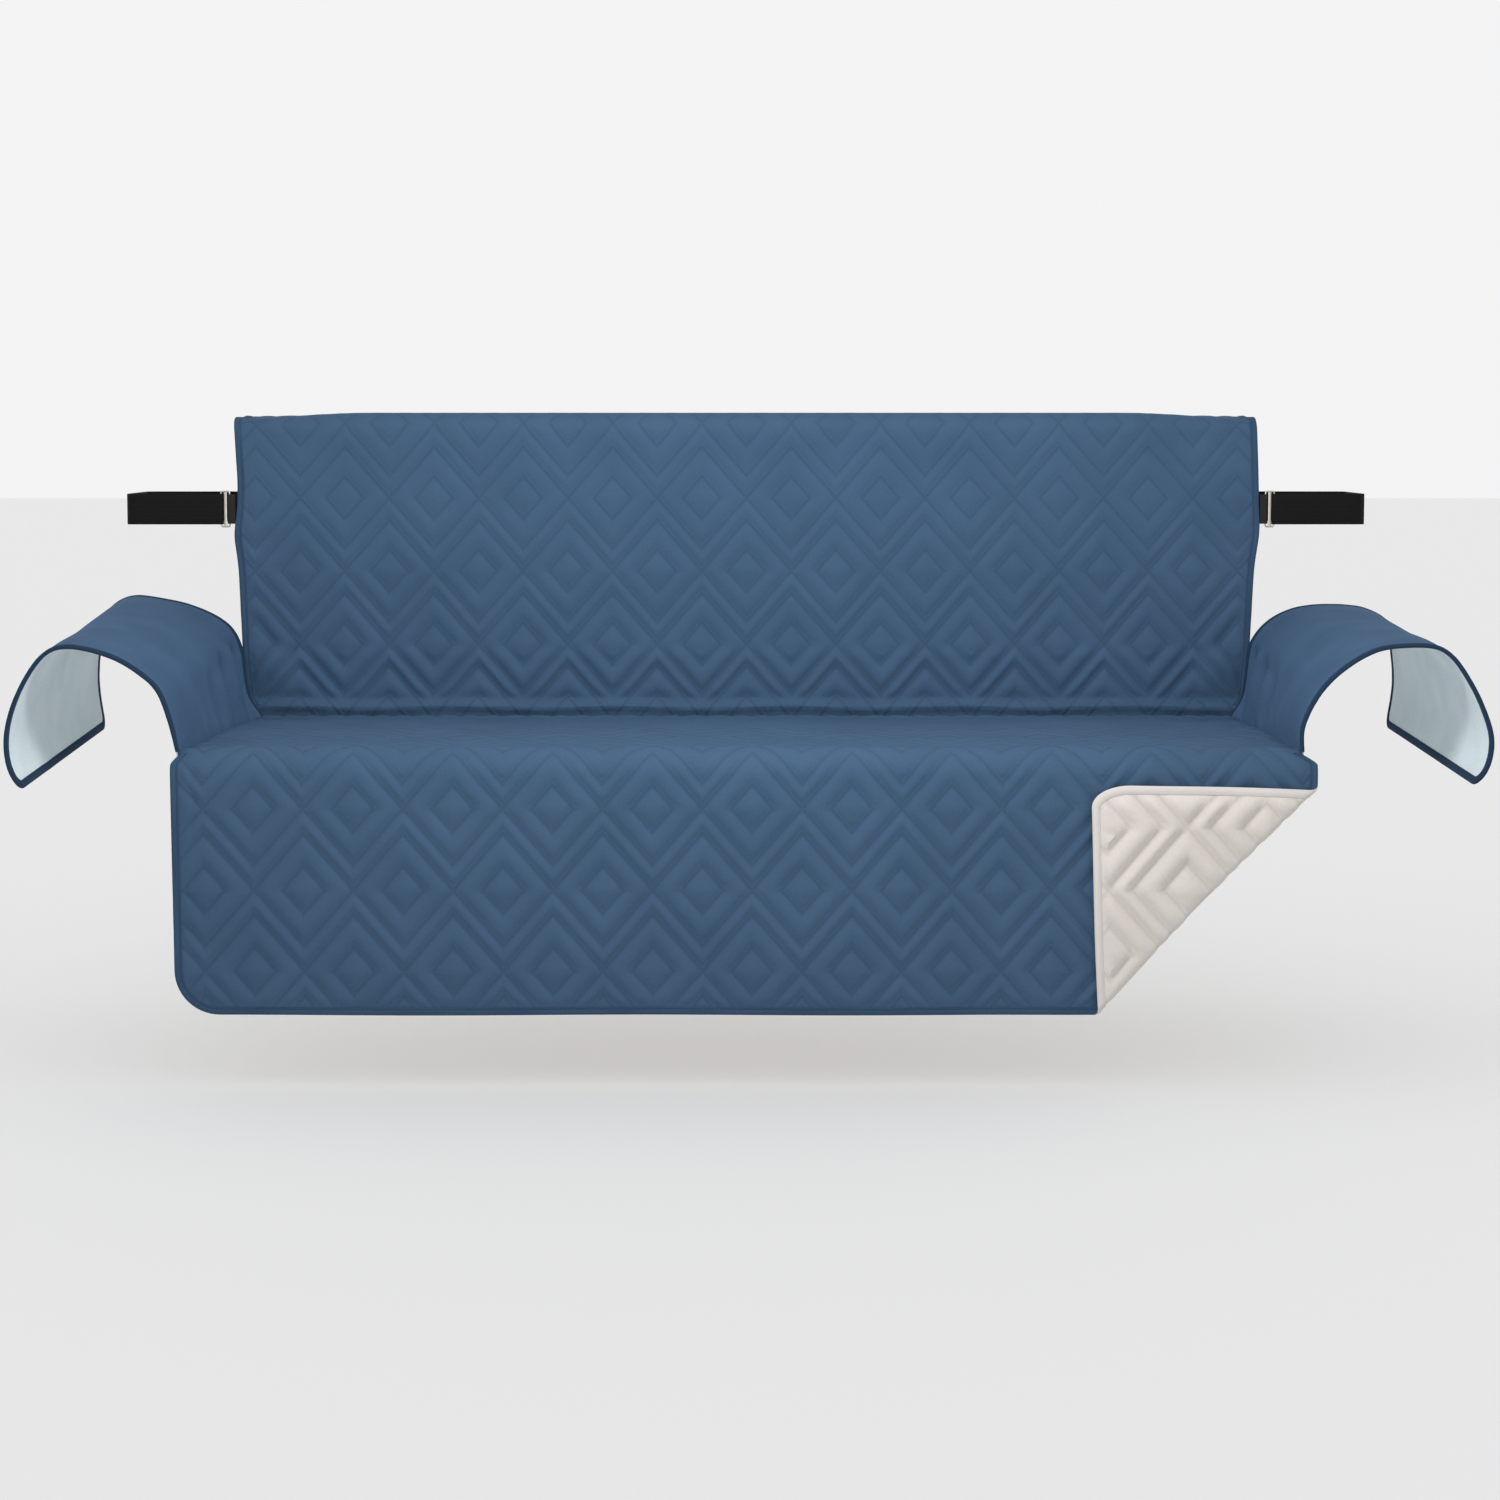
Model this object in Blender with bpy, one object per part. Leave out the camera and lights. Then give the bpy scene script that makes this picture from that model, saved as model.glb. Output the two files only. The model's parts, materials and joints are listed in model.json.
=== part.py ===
"""A reversible quilted slipcover for a back, a seat and two arms, draped as it hangs in use.

Metres, +Z up, and the front faces -Y. The cover is hollow underneath. The origin is under the
cloth, in the middle of the flat stretch at the top of the back that carries it.

The main panel is one cloth: it hangs down behind the back, runs over the top, down the back, into
the tuck, over the seat and down in front, where one corner is turned up to show the reverse.
Every edge of it is worked out on the flat cloth, as u across and s along it, and then draped.
"""

import math
from collections import namedtuple

import bmesh
import bpy
from mathutils import Vector
from mathutils.geometry import delaunay_2d_cdt

# Cloth and binding
CLOTH = 0.004
QUILT_RISE = 0.0025
BINDING_WIDTH = 0.012
BINDING_THICKNESS = 0.0065
GAP = 0.0003
EDGE_GAP = 0.0009

# The main panel's run from the rear hem to the front hem, at the middle of the cloth
Corner = namedtuple("Corner", "name y z radius")
RUN = (
    Corner("rear hem", 0.088, -0.440, 0.0),
    Corner("rear of the top", 0.088, 0.002, 0.035),
    Corner("front of the top", -0.080, 0.002, 0.030),
    Corner("tuck", -0.148, -0.525, 0.0055),
    Corner("back of the seat", -0.168, -0.486, 0.012),
    Corner("front of the seat", -0.742, -0.486, 0.036),
    Corner("front hem", -0.742, -0.875, 0.0),
)
ROWS_IN_BEND = 4
TUCK_TURN = 3
SEAT_CROWN = 0.005
TOP_DROOP = 0.006
DROOP_ACROSS = (0.70, 0.85)
DROOP_STARTS = (-0.66, -0.60)
DROOP_ENDS = (-0.50, -0.44)
HEM_WAVE = 0.004
HEM_WAVE_LENGTH = 0.62
HEM_WAVE_ENDS = (0.30, 0.48)

# The main panel's half widths, left and right, by the cloth's length from the tuck
Width = namedtuple("Width", "along left right")
WIDTHS = (
    Width(-1.140, 0.838, 0.838),
    Width(-0.530, 0.841, 0.838),
    Width(-0.410, 0.832, 0.840),
    Width(-0.350, 0.834, 0.841),
    Width(-0.335, 0.839, 0.842),
    Width(-0.275, 0.830, 0.832),
    Width(-0.130, 0.822, 0.823),
    Width(-0.060, 0.814, 0.815),
    Width(-0.045, 0.801, 0.803),
    Width(0.045, 0.801, 0.803),
    Width(0.590, 0.829, 0.812),
    Width(0.608, 0.842, 0.836),
    Width(1.100, 0.839, 0.837),
)
SEAT_WIDTHS = WIDTHS[9:11]
BACK_EDGE_START = -0.048
FRONT_EDGE_START = 0.590
CORNER_RADIUS = 0.066
CORNER_STEPS = 5
EDGE_STEP = 0.042

# The corner that is turned up: its fold runs from the front hem to the right edge
FOLD_AT_HEM = 0.504
FOLD_AT_SIDE = 0.837
FOLD_UP_SIDE = 0.3486
FOLD_RADIUS = 0.006
FOLD_TURN = math.radians(178.6)
FOLD_STEP = 0.004
FOLD_ROWS = 5
FOLD_ZONE = (-0.006, 0.055)

# Quilting: rows of diamonds that touch side by side, every other row set over by half
DIAMOND_PITCH = 0.146
ROW_PITCH = 0.120
DIAMOND_HALF_HEIGHT = 0.0835
INNER_DIAMOND = 0.42
FIRST_COLUMN = 0.009
TOP_ROW_ON_APRON = -0.569
LINE_MARGIN = 0.004
LINE_PIECES = 12
ROW_STEP = DIAMOND_PITCH / 3

# Arm panels, by their front and rear sections, from above the seat seam over the roll to the hem
Station = namedtuple("Station", "front_x front_z rear_x rear_z")
LEFT_ARM = (
    Station(0.842, -0.441, 0.813, -0.450),
    Station(0.858, -0.398, 0.820, -0.405),
    Station(0.882, -0.373, 0.826, -0.370),
    Station(0.918, -0.350, 0.845, -0.338),
    Station(0.961, -0.336, 0.885, -0.314),
    Station(0.998, -0.333, 0.938, -0.297),
    Station(1.024, -0.345, 1.000, -0.290),
    Station(1.048, -0.376, 1.040, -0.320),
    Station(1.069, -0.420, 1.050, -0.368),
    Station(1.080, -0.466, 1.053, -0.420),
    Station(1.077, -0.508, 1.048, -0.465),
    Station(1.060, -0.544, 1.040, -0.502),
)
RIGHT_ARM = (
    Station(0.814, -0.450, 0.813, -0.450),
    Station(0.837, -0.402, 0.819, -0.405),
    Station(0.872, -0.365, 0.826, -0.366),
    Station(0.918, -0.338, 0.852, -0.333),
    Station(0.965, -0.331, 0.892, -0.312),
    Station(1.005, -0.333, 0.945, -0.304),
    Station(1.030, -0.348, 1.003, -0.309),
    Station(1.052, -0.378, 1.044, -0.334),
    Station(1.074, -0.420, 1.050, -0.374),
    Station(1.089, -0.466, 1.053, -0.422),
    Station(1.085, -0.506, 1.048, -0.465),
    Station(1.066, -0.538, 1.040, -0.500),
)
ARM_FRONT_Y = -0.737
ARM_BEHIND = 0.016
ARM_CORNER = 0.025
ARM_STEP_ROUND = 0.030
ARM_STEP_ALONG = 0.070
ARM_SECTION_POINTS = 96
ARM_CORNER_STEPS = 3
CURVE_STEPS = 12
SLOPE_STEP = 0.004

# The elastic strap behind the cover, its sliders and the tabs that hold them
STRAP_Z = -0.148
STRAP_HEIGHT = 0.050
STRAP_THICKNESS = 0.0018
STRAP_HALF_WIDTH = 1.013
STRAP_REAR_Y = 0.104
STRAP_TURN = 0.012
STRAP_RETURN = 0.060
SLIDER_BAR = 0.0026
SLIDER_HEIGHT = 0.060
SLIDER_WIDTH = 0.0165
TAB_THICKNESS = 0.0014
TAB_HEIGHT = 0.048
TAB_REACH = 0.009
LOOP_CLEARANCE = 0.0005
LOOP_STEPS = 6
TURN_STEPS = 5

BLUE = (0.061, 0.113, 0.198)
ARM_BLUE = (0.072, 0.142, 0.246)
NAVY = (0.026, 0.060, 0.112)
BLACK = (0.014, 0.014, 0.015)
METAL = (0.62, 0.58, 0.53)


def start_scene():
    for old in list(bpy.data.objects):
        bpy.data.objects.remove(old, do_unlink=True)
    cover = bpy.data.collections.new("sofa_slipcover")
    bpy.context.scene.collection.children.link(cover)
    return cover


def finish(name, colour, roughness, metallic=0.0):
    material = bpy.data.materials.new(name)
    material.use_nodes = True
    shader = material.node_tree.nodes["Principled BSDF"]
    shader.inputs["Base Color"].default_value = (*colour, 1)
    shader.inputs["Roughness"].default_value = roughness
    shader.inputs["Metallic"].default_value = metallic
    return material


def add_mesh(cover, name, mesh, material):
    piece = bpy.data.objects.new(name, mesh)
    cover.objects.link(piece)
    piece.data.materials.append(material)
    return piece


def closed_mesh(name, points, faces):
    """A mesh from points and faces, with all its faces turned out."""
    form = bmesh.new()
    corners = [form.verts.new(p) for p in points]
    for face in faces:
        form.faces.new([corners[i] for i in face])
    bmesh.ops.recalc_face_normals(form, faces=form.faces)
    mesh = bpy.data.meshes.new(name)
    form.to_mesh(mesh)
    form.free()
    return mesh


# ---------------------------------------------------------------- the main panel's run


Leg = namedtuple("Leg", "start length at heading radius turn")


def legs_of(corners):
    """Straight legs and the arcs between them, each with the s that it starts at."""
    legs = []
    here = Vector((corners[0].y, corners[0].z))
    s = 0.0
    for corner, after in zip(corners[1:], corners[2:] + (None,)):
        point = Vector((corner.y, corner.z))
        heading = (point - here).normalized()
        turn = 0.0
        if after:
            onward = (Vector((after.y, after.z)) - point).normalized()
            turn = math.atan2(heading.cross(onward), heading.dot(onward))
        cut = corner.radius * math.tan(abs(turn) / 2)
        length = (point - here).length - cut
        legs.append(Leg(s, length, here, heading, 0.0, 0.0))
        s += length
        here = point - heading * cut
        if after:
            arc = corner.radius * abs(turn)
            legs.append(Leg(s, arc, here, heading, corner.radius, turn))
            s += arc
            here = point + onward * cut
    return legs


LEGS = legs_of(RUN)
BENDS = [leg for leg in LEGS if leg.radius]
TUCK = BENDS[2].start + BENDS[2].length / 2
REAR_HEM = -TUCK
FRONT_HEM = LEGS[-1].start + LEGS[-1].length - TUCK
APRON_START = LEGS[-1].start - TUCK
SEAT_START = BENDS[3].start + BENDS[3].length - TUCK
SEAT_END = BENDS[4].start - TUCK


def run_at(s):
    """The point and outward direction, in y and z, of the panel's run at s from the tuck."""
    along = s + TUCK
    leg = LEGS[0]
    for later in LEGS:
        if along >= later.start:
            leg = later
    left = Vector((-leg.heading.y, leg.heading.x))
    reach = along - leg.start
    if not leg.radius:
        return leg.at + leg.heading * reach, -left
    angle = reach / leg.radius
    side = math.copysign(1, leg.turn)
    point = leg.at + leg.radius * (math.sin(angle) * leg.heading + side * (1 - math.cos(angle)) * left)
    heading = math.cos(angle) * leg.heading + side * math.sin(angle) * left
    return point, Vector((heading.y, -heading.x))


def smooth_step(low, high, value):
    t = min(1.0, max(0.0, (value - low) / (high - low)))
    return t * t * (3 - 2 * t)


def drape(u, s):
    """How far the cloth stands off its run: top corners droop, the seat crowns, the hem waves."""
    if s < 0:
        top = smooth_step(*DROOP_STARTS, s) * (1 - smooth_step(*DROOP_ENDS, s))
        return -TOP_DROOP * top * smooth_step(*DROOP_ACROSS, abs(u))
    if SEAT_START < s < SEAT_END:
        t = (s - SEAT_START) / (SEAT_END - SEAT_START)
        return SEAT_CROWN * math.sin(math.pi * t) ** 2
    fall = smooth_step(APRON_START, FRONT_HEM, s)
    clear_of_fold = 1 - smooth_step(*HEM_WAVE_ENDS, u)
    return HEM_WAVE * fall * clear_of_fold * math.sin(2 * math.pi * u / HEM_WAVE_LENGTH)


HEM_END = Vector((FOLD_AT_HEM, FRONT_HEM))
SIDE_END = Vector((FOLD_AT_SIDE, FRONT_HEM - FOLD_UP_SIDE))
FOLD_LINE = (SIDE_END - HEM_END).normalized()
TO_CORNER = Vector((-FOLD_LINE.y, FOLD_LINE.x))
FOLD_LENGTH = FOLD_RADIUS * FOLD_TURN


def past_fold(u, s):
    """How far a point of the flat cloth lies past the fold, towards the corner."""
    return (Vector((u, s)) - HEM_END).dot(TO_CORNER)


def draped(u, s, off=0.0):
    """A point of the flat cloth where it hangs, and off metres out from the middle of the cloth."""
    turned = past_fold(u, s)
    if turned > 0 and s > APRON_START:
        flat = Vector((u, s)) - TO_CORNER * turned
        angle = min(turned / FOLD_RADIUS, FOLD_TURN)
        beyond = max(0.0, turned - FOLD_LENGTH)
        along = FOLD_RADIUS * math.sin(angle) + beyond * math.cos(angle)
        out = FOLD_RADIUS * (1 - math.cos(angle)) + beyond * math.sin(angle)
        flat += TO_CORNER * (along - off * math.sin(angle))
        out += off * math.cos(angle)
        place, outward = run_at(flat.y)
        place = place + outward * out
        return Vector((flat.x, place.x, place.y))
    place, outward = run_at(s)
    place = place + outward * (off + drape(u, s))
    return Vector((u, place.x, place.y))


# ---------------------------------------------------------------- edges of the flat cloth


def half_width(s, side):
    """The half width of the cloth at s, on the left for side -1 and on the right for 1."""
    column = 1 if side < 0 else 2
    for near, far in zip(WIDTHS, WIDTHS[1:]):
        if near.along <= s <= far.along:
            t = (s - near.along) / (far.along - near.along)
            return near[column] + t * (far[column] - near[column])
    return WIDTHS[-1 if s > 0 else 0][column]


def bend_rows():
    rows = []
    for bend in BENDS:
        steps = TUCK_TURN if bend.radius < 0.02 else ROWS_IN_BEND
        rows += [bend.start - TUCK + bend.length * i / (steps - 1) for i in range(steps)]
    return rows


def stops(low, high, step):
    """Values from low to high, about step apart."""
    count = max(1, math.ceil((high - low) / step))
    return [low + (high - low) * i / count for i in range(count + 1)]


def side_stops(low, high):
    """Stops up a side edge: at the bends, the width's own points, the fold and evenly between."""
    fixed = {low, high}
    fixed |= {s for s in bend_rows() if low < s < high}
    fixed |= {w.along for w in WIDTHS if low < w.along < high}
    fixed = sorted(fixed)
    found = [low]
    for near, far in zip(fixed, fixed[1:]):
        found += stops(near, far, EDGE_STEP)[1:]
    return found


def corner_arc(centre_u, centre_s, radius, start):
    """A quarter turn of the flat cloth's corner, from the angle start."""
    angles = [start + math.pi / 2 * i / CORNER_STEPS for i in range(CORNER_STEPS + 1)]
    return [(centre_u + radius * math.cos(a), centre_s + radius * math.sin(a)) for a in angles]


def back_edge(inset):
    """The bound edge of the back: up the right side, along the rear hem and down the left."""
    high = REAR_HEM + CORNER_RADIUS
    side = side_stops(high, BACK_EDGE_START)
    right = [(half_width(s, 1) - inset, s) for s in reversed(side)]
    left = [(inset - half_width(s, -1), s) for s in side]
    half = half_width(high, 1) - CORNER_RADIUS
    hem = [(u, REAR_HEM + inset) for u in reversed(stops(-half, half, 2 * EDGE_STEP))]
    round_off = CORNER_RADIUS - inset
    right_turn = list(reversed(corner_arc(half, high, round_off, -math.pi / 2)))
    left_turn = list(reversed(corner_arc(-half, high, round_off, -math.pi)))
    return right[:-1] + right_turn + hem[1:-1] + left_turn + left[1:]


def front_edge(inset):
    """The bound edge of the front: down the left side, along the hem, and up the right side."""
    low = FRONT_HEM - CORNER_RADIUS
    half = half_width(low, -1) - CORNER_RADIUS
    right_half = half_width(low, 1) - CORNER_RADIUS
    left = [(inset - half_width(s, -1), s) for s in side_stops(FRONT_EDGE_START, low)]
    before, after = (FOLD_AT_HEM + shift for shift in FOLD_ZONE)
    across = stops(-half, before, EDGE_STEP)
    across += stops(before, after, FOLD_STEP)[1:]
    across += stops(after, right_half, EDGE_STEP)[1:]
    hem = [(u, FRONT_HEM - inset) for u in across]
    before, after = (FRONT_HEM - FOLD_UP_SIDE + shift for shift in FOLD_ZONE)
    up = side_stops(FRONT_EDGE_START, before)
    up += stops(before, after, FOLD_STEP)[1:]
    up += stops(after, low, EDGE_STEP)[1:]
    right = [(half_width(s, 1) - inset, s) for s in reversed(up)]
    round_off = CORNER_RADIUS - inset
    left_turn = list(reversed(corner_arc(-half, low, round_off, math.pi / 2)))
    right_turn = list(reversed(corner_arc(right_half, low, round_off, 0.0)))
    return left[:-1] + left_turn + hem[1:-1] + right_turn + right[1:]


def seam_edge(side):
    """The edge of the seat that an arm panel is sewn to, from the back to the front."""
    low = BACK_EDGE_START + GAP
    high = FRONT_EDGE_START - GAP
    return [(side * half_width(s, side), s) for s in side_stops(low, high)]


def panel_outline(inset):
    right = list(reversed(seam_edge(1)))
    return back_edge(inset) + seam_edge(-1) + front_edge(inset) + right


def inside(outline, u, s):
    """Whether a point of the flat cloth lies inside an outline."""
    crossings = 0
    for (u0, s0), (u1, s1) in zip(outline, outline[1:] + outline[:1]):
        if (s0 > s) != (s1 > s) and u < u0 + (s - s0) / (s1 - s0) * (u1 - u0):
            crossings += 1
    return crossings % 2 == 1


# ---------------------------------------------------------------- quilting


HALF = DIAMOND_PITCH / 2
TALL = DIAMOND_HALF_HEIGHT
FIRST_ROW = APRON_START + (LEGS[-1].at.y - TOP_ROW_ON_APRON)


def row_centre(row):
    """The s of a row of diamonds, and the u of one diamond in it."""
    return FIRST_ROW + row * ROW_PITCH, FIRST_COLUMN + HALF * (row % 2)


def diamond_depth(u, s, row):
    """0 at the middle of the nearest diamond of a row, 1 on its outline and more outside it."""
    centre_s, centre_u = row_centre(row)
    across = (u - centre_u + HALF) % DIAMOND_PITCH - HALF
    return abs(across) / HALF + abs(s - centre_s) / TALL


def quilt(u, s):
    """The height of the quilting, from 0 on a stitch line to 1 between them."""
    row = math.floor((s - FIRST_ROW) / ROW_PITCH)
    above = diamond_depth(u, s, row)
    below = diamond_depth(u, s, row + 1)
    depth = min(above, below)
    if depth < INNER_DIAMOND:
        return 1 - (depth / INNER_DIAMOND) ** 2
    if depth < 1:
        t = (depth - INNER_DIAMOND) / (1 - INNER_DIAMOND)
    else:
        t = (above - 1) / max(above + below - 2, 1e-9)
    return 4 * t * (1 - t)


def quilt_lines():
    """The stitch lines and the ridges between them, as pairs of points on the flat cloth."""
    first = math.floor((REAR_HEM - FIRST_ROW) / ROW_PITCH)
    last = math.ceil((FRONT_HEM - FIRST_ROW) / ROW_PITCH)
    columns = math.ceil(WIDTHS[0].left / DIAMOND_PITCH) + 1
    for row in range(first, last + 1):
        s, offset = row_centre(row)
        for column in range(-columns, columns + 1):
            u = offset + column * DIAMOND_PITCH
            for size in (INNER_DIAMOND, (1 + INNER_DIAMOND) / 2, 1.0):
                ring = [(u + HALF * size, s), (u, s + TALL * size)]
                ring += [(u - HALF * size, s), (u, s - TALL * size)]
                yield from zip(ring, ring[1:] + ring[:1])
            yield (u, s), (u, s)
            low = (u, s + (TALL + ROW_PITCH) / 2)
            yield low, (u + HALF, s + (ROW_PITCH - TALL) / 2)
            yield low, (u - HALF, s + (ROW_PITCH - TALL) / 2)


def free_of_bends(u, s):
    """Whether a quilt line may run here: clear of the bends, which have rows of their own."""
    for bend in BENDS:
        low = bend.start - TUCK
        if low - LINE_MARGIN < s < low + bend.length + LINE_MARGIN:
            return False
    return not -LINE_MARGIN < past_fold(u, s) < FOLD_LENGTH + LINE_MARGIN


def clipped(line, allowed):
    """The stretches of a line that are allowed, each as a pair of points."""
    (u0, s0), (u1, s1) = line
    found = []
    start = None
    for i in range(LINE_PIECES + 1):
        t = i / LINE_PIECES
        point = (u0 + (u1 - u0) * t, s0 + (s1 - s0) * t)
        if allowed(*point):
            start = start or point
            end = point
        elif start:
            found.append((start, end))
            start = None
    if start:
        found.append((start, end))
    return found


def face_of_cloth(outline, lines, points):
    """Triangles over the flat cloth that keep its outline and the lines given."""
    places = [Vector(p) for p in outline]
    edges = [(i, (i + 1) % len(outline)) for i in range(len(outline))]
    index = {}
    for line in lines:
        ends = []
        for point in line:
            key = (round(point[0], 5), round(point[1], 5))
            if key not in index:
                index[key] = len(places)
                places.append(Vector(point))
            ends.append(index[key])
        if ends[0] != ends[1]:
            edges.append(tuple(ends))
    places += [Vector(p) for p in points]
    found = delaunay_2d_cdt(places, edges, [], 1, 1e-6)
    spots, _, faces, sources = found[:4]
    rim = {}
    for i, source in enumerate(sources):
        for original in source:
            if original < len(outline):
                rim[original] = i
    return [tuple(p) for p in spots], [tuple(f) for f in faces], [rim[i] for i in range(len(outline))]


def lines_in_bends(inset):
    """Rows of points across each bend, and the same rows plain, for the face that isn't quilted."""
    rows, plain = [], []
    for s in bend_rows():
        left = inset + LINE_MARGIN - half_width(s, -1)
        right = half_width(s, 1) - LINE_MARGIN - inset
        across = stops(left, right, ROW_STEP)
        rows += [((u0, s), (u1, s)) for u0, u1 in zip(across, across[1:])]
        plain.append(((left, s), (right, s)))
    return rows, plain


def lines_in_fold(allowed):
    """Lines along the turned-up corner's fold, from where the cloth starts to turn to its end."""
    lines = []
    reach = (SIDE_END - HEM_END).length
    for i in range(FOLD_ROWS):
        at = HEM_END + TO_CORNER * (FOLD_LENGTH * i / (FOLD_ROWS - 1))
        spots = [tuple(at + FOLD_LINE * way) for way in stops(-reach, 2 * reach, LINE_MARGIN)]
        kept = [spot for spot in spots if allowed(*spot)]
        lines.append((kept[0], kept[-1]))
    return lines


def main_panel(cover, material):
    inset = BINDING_WIDTH + EDGE_GAP
    outline = panel_outline(inset)
    safe = panel_outline(inset + LINE_MARGIN)

    def well_inside(u, s):
        at_step = min(abs(s - BACK_EDGE_START), abs(s - FRONT_EDGE_START)) < LINE_MARGIN
        clear = inset + LINE_MARGIN if at_step else LINE_MARGIN
        return abs(u) < half_width(s, math.copysign(1, u)) - clear and inside(safe, u, s)

    def may_quilt(u, s):
        return well_inside(u, s) and free_of_bends(u, s)

    rows, plain_rows = lines_in_bends(inset)
    folds = lines_in_fold(well_inside)
    stitches = [part for line in quilt_lines() for part in clipped(line, may_quilt)]
    turned_up = [line for line in stitches if past_fold(*line[0]) > 0]
    middles = [line[0] for line in quilt_lines() if line[0] == line[1]]
    coarse = [spot for spot in middles if may_quilt(*spot) and past_fold(*spot) < 0]
    quilted = (1, rows + folds + stitches, [])
    reverse = (-1, plain_rows + folds + turned_up, coarse)
    points, faces, rims = [], [], []
    for side, lines, extra in (quilted, reverse):
        spots, triangles, rim = face_of_cloth(outline, lines, extra)
        base = len(points)
        for u, s in spots:
            shown = side > 0 or past_fold(u, s) > FOLD_LENGTH
            rise = QUILT_RISE * quilt(u, s) if shown and well_inside(u, s) else 0.0
            points.append(draped(u, s, side * (CLOTH / 2 + rise)))
        faces += [[base + i for i in triangle] for triangle in triangles]
        rims.append([base + i for i in rim])
    faces += rim_faces(*rims)
    return add_mesh(cover, "main_panel", closed_mesh("main_panel", points, faces), material)


def rim_faces(front, back):
    """The faces round a sheet's edge, between the rims of its two sides."""
    after = front[1:] + front[:1]
    behind = back[1:] + back[:1]
    return [list(face) for face in zip(front, after, behind, back)]


# ---------------------------------------------------------------- binding


def binding(cover, name, edge, place, material):
    """A strip along an edge: edge(inset) gives its line, and place(point, off) drapes it."""
    outer = edge(0.0)
    inner = edge(BINDING_WIDTH)
    half = BINDING_THICKNESS / 2
    points, faces = [], []
    for out, back in zip(outer, inner):
        points += [place(out, half), place(back, half), place(back, -half), place(out, -half)]
    last = len(points) - 4
    for start in range(0, last, 4):
        for i in range(4):
            j = (i + 1) % 4
            faces.append([start + i, start + j, start + 4 + j, start + 4 + i])
    faces += [[3, 2, 1, 0], [last, last + 1, last + 2, last + 3]]
    return add_mesh(cover, name, closed_mesh(name, points, faces), material)


# ---------------------------------------------------------------- arm panels


def curve_through(points, count):
    """Points evenly spaced along a smooth curve through the given ones."""
    fine = []
    for i in range(len(points) - 1):
        before = points[max(i - 1, 0)]
        start, end = points[i], points[i + 1]
        after = points[min(i + 2, len(points) - 1)]
        for k in range(CURVE_STEPS):
            t = k / CURVE_STEPS
            a = -0.5 * t + t * t - 0.5 * t**3
            b = 1 - 2.5 * t * t + 1.5 * t**3
            c = 0.5 * t + 2 * t * t - 1.5 * t**3
            d = -0.5 * t * t + 0.5 * t**3
            fine.append(a * before + b * start + c * end + d * after)
    fine.append(points[-1])
    reach = [0.0]
    for near, far in zip(fine, fine[1:]):
        reach.append(reach[-1] + (far - near).length)
    found = []
    k = 0
    for i in range(count + 1):
        want = reach[-1] * i / count
        while k < len(fine) - 2 and reach[k + 1] < want:
            k += 1
        t = (want - reach[k]) / (reach[k + 1] - reach[k])
        found.append(fine[k].lerp(fine[k + 1], min(1.0, t)))
    return found


def rear_y(z):
    """Where an arm panel ends at the back: just behind the slope that the main panel runs down."""
    top, foot = RUN[2], RUN[3]
    slope = (foot.y - top.y) / (foot.z - top.z)
    return top.y + slope * (z - top.z) - ARM_BEHIND


def seat_side(side, y):
    """How far out the seat's sewn edge is at y."""
    rear, front = SEAT_WIDTHS
    column = 1 if side < 0 else 2
    rear_at, front_at = run_at(rear.along)[0].x, run_at(front.along)[0].x
    return rear[column] + (y - rear_at) / (front_at - rear_at) * (front[column] - rear[column])


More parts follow.
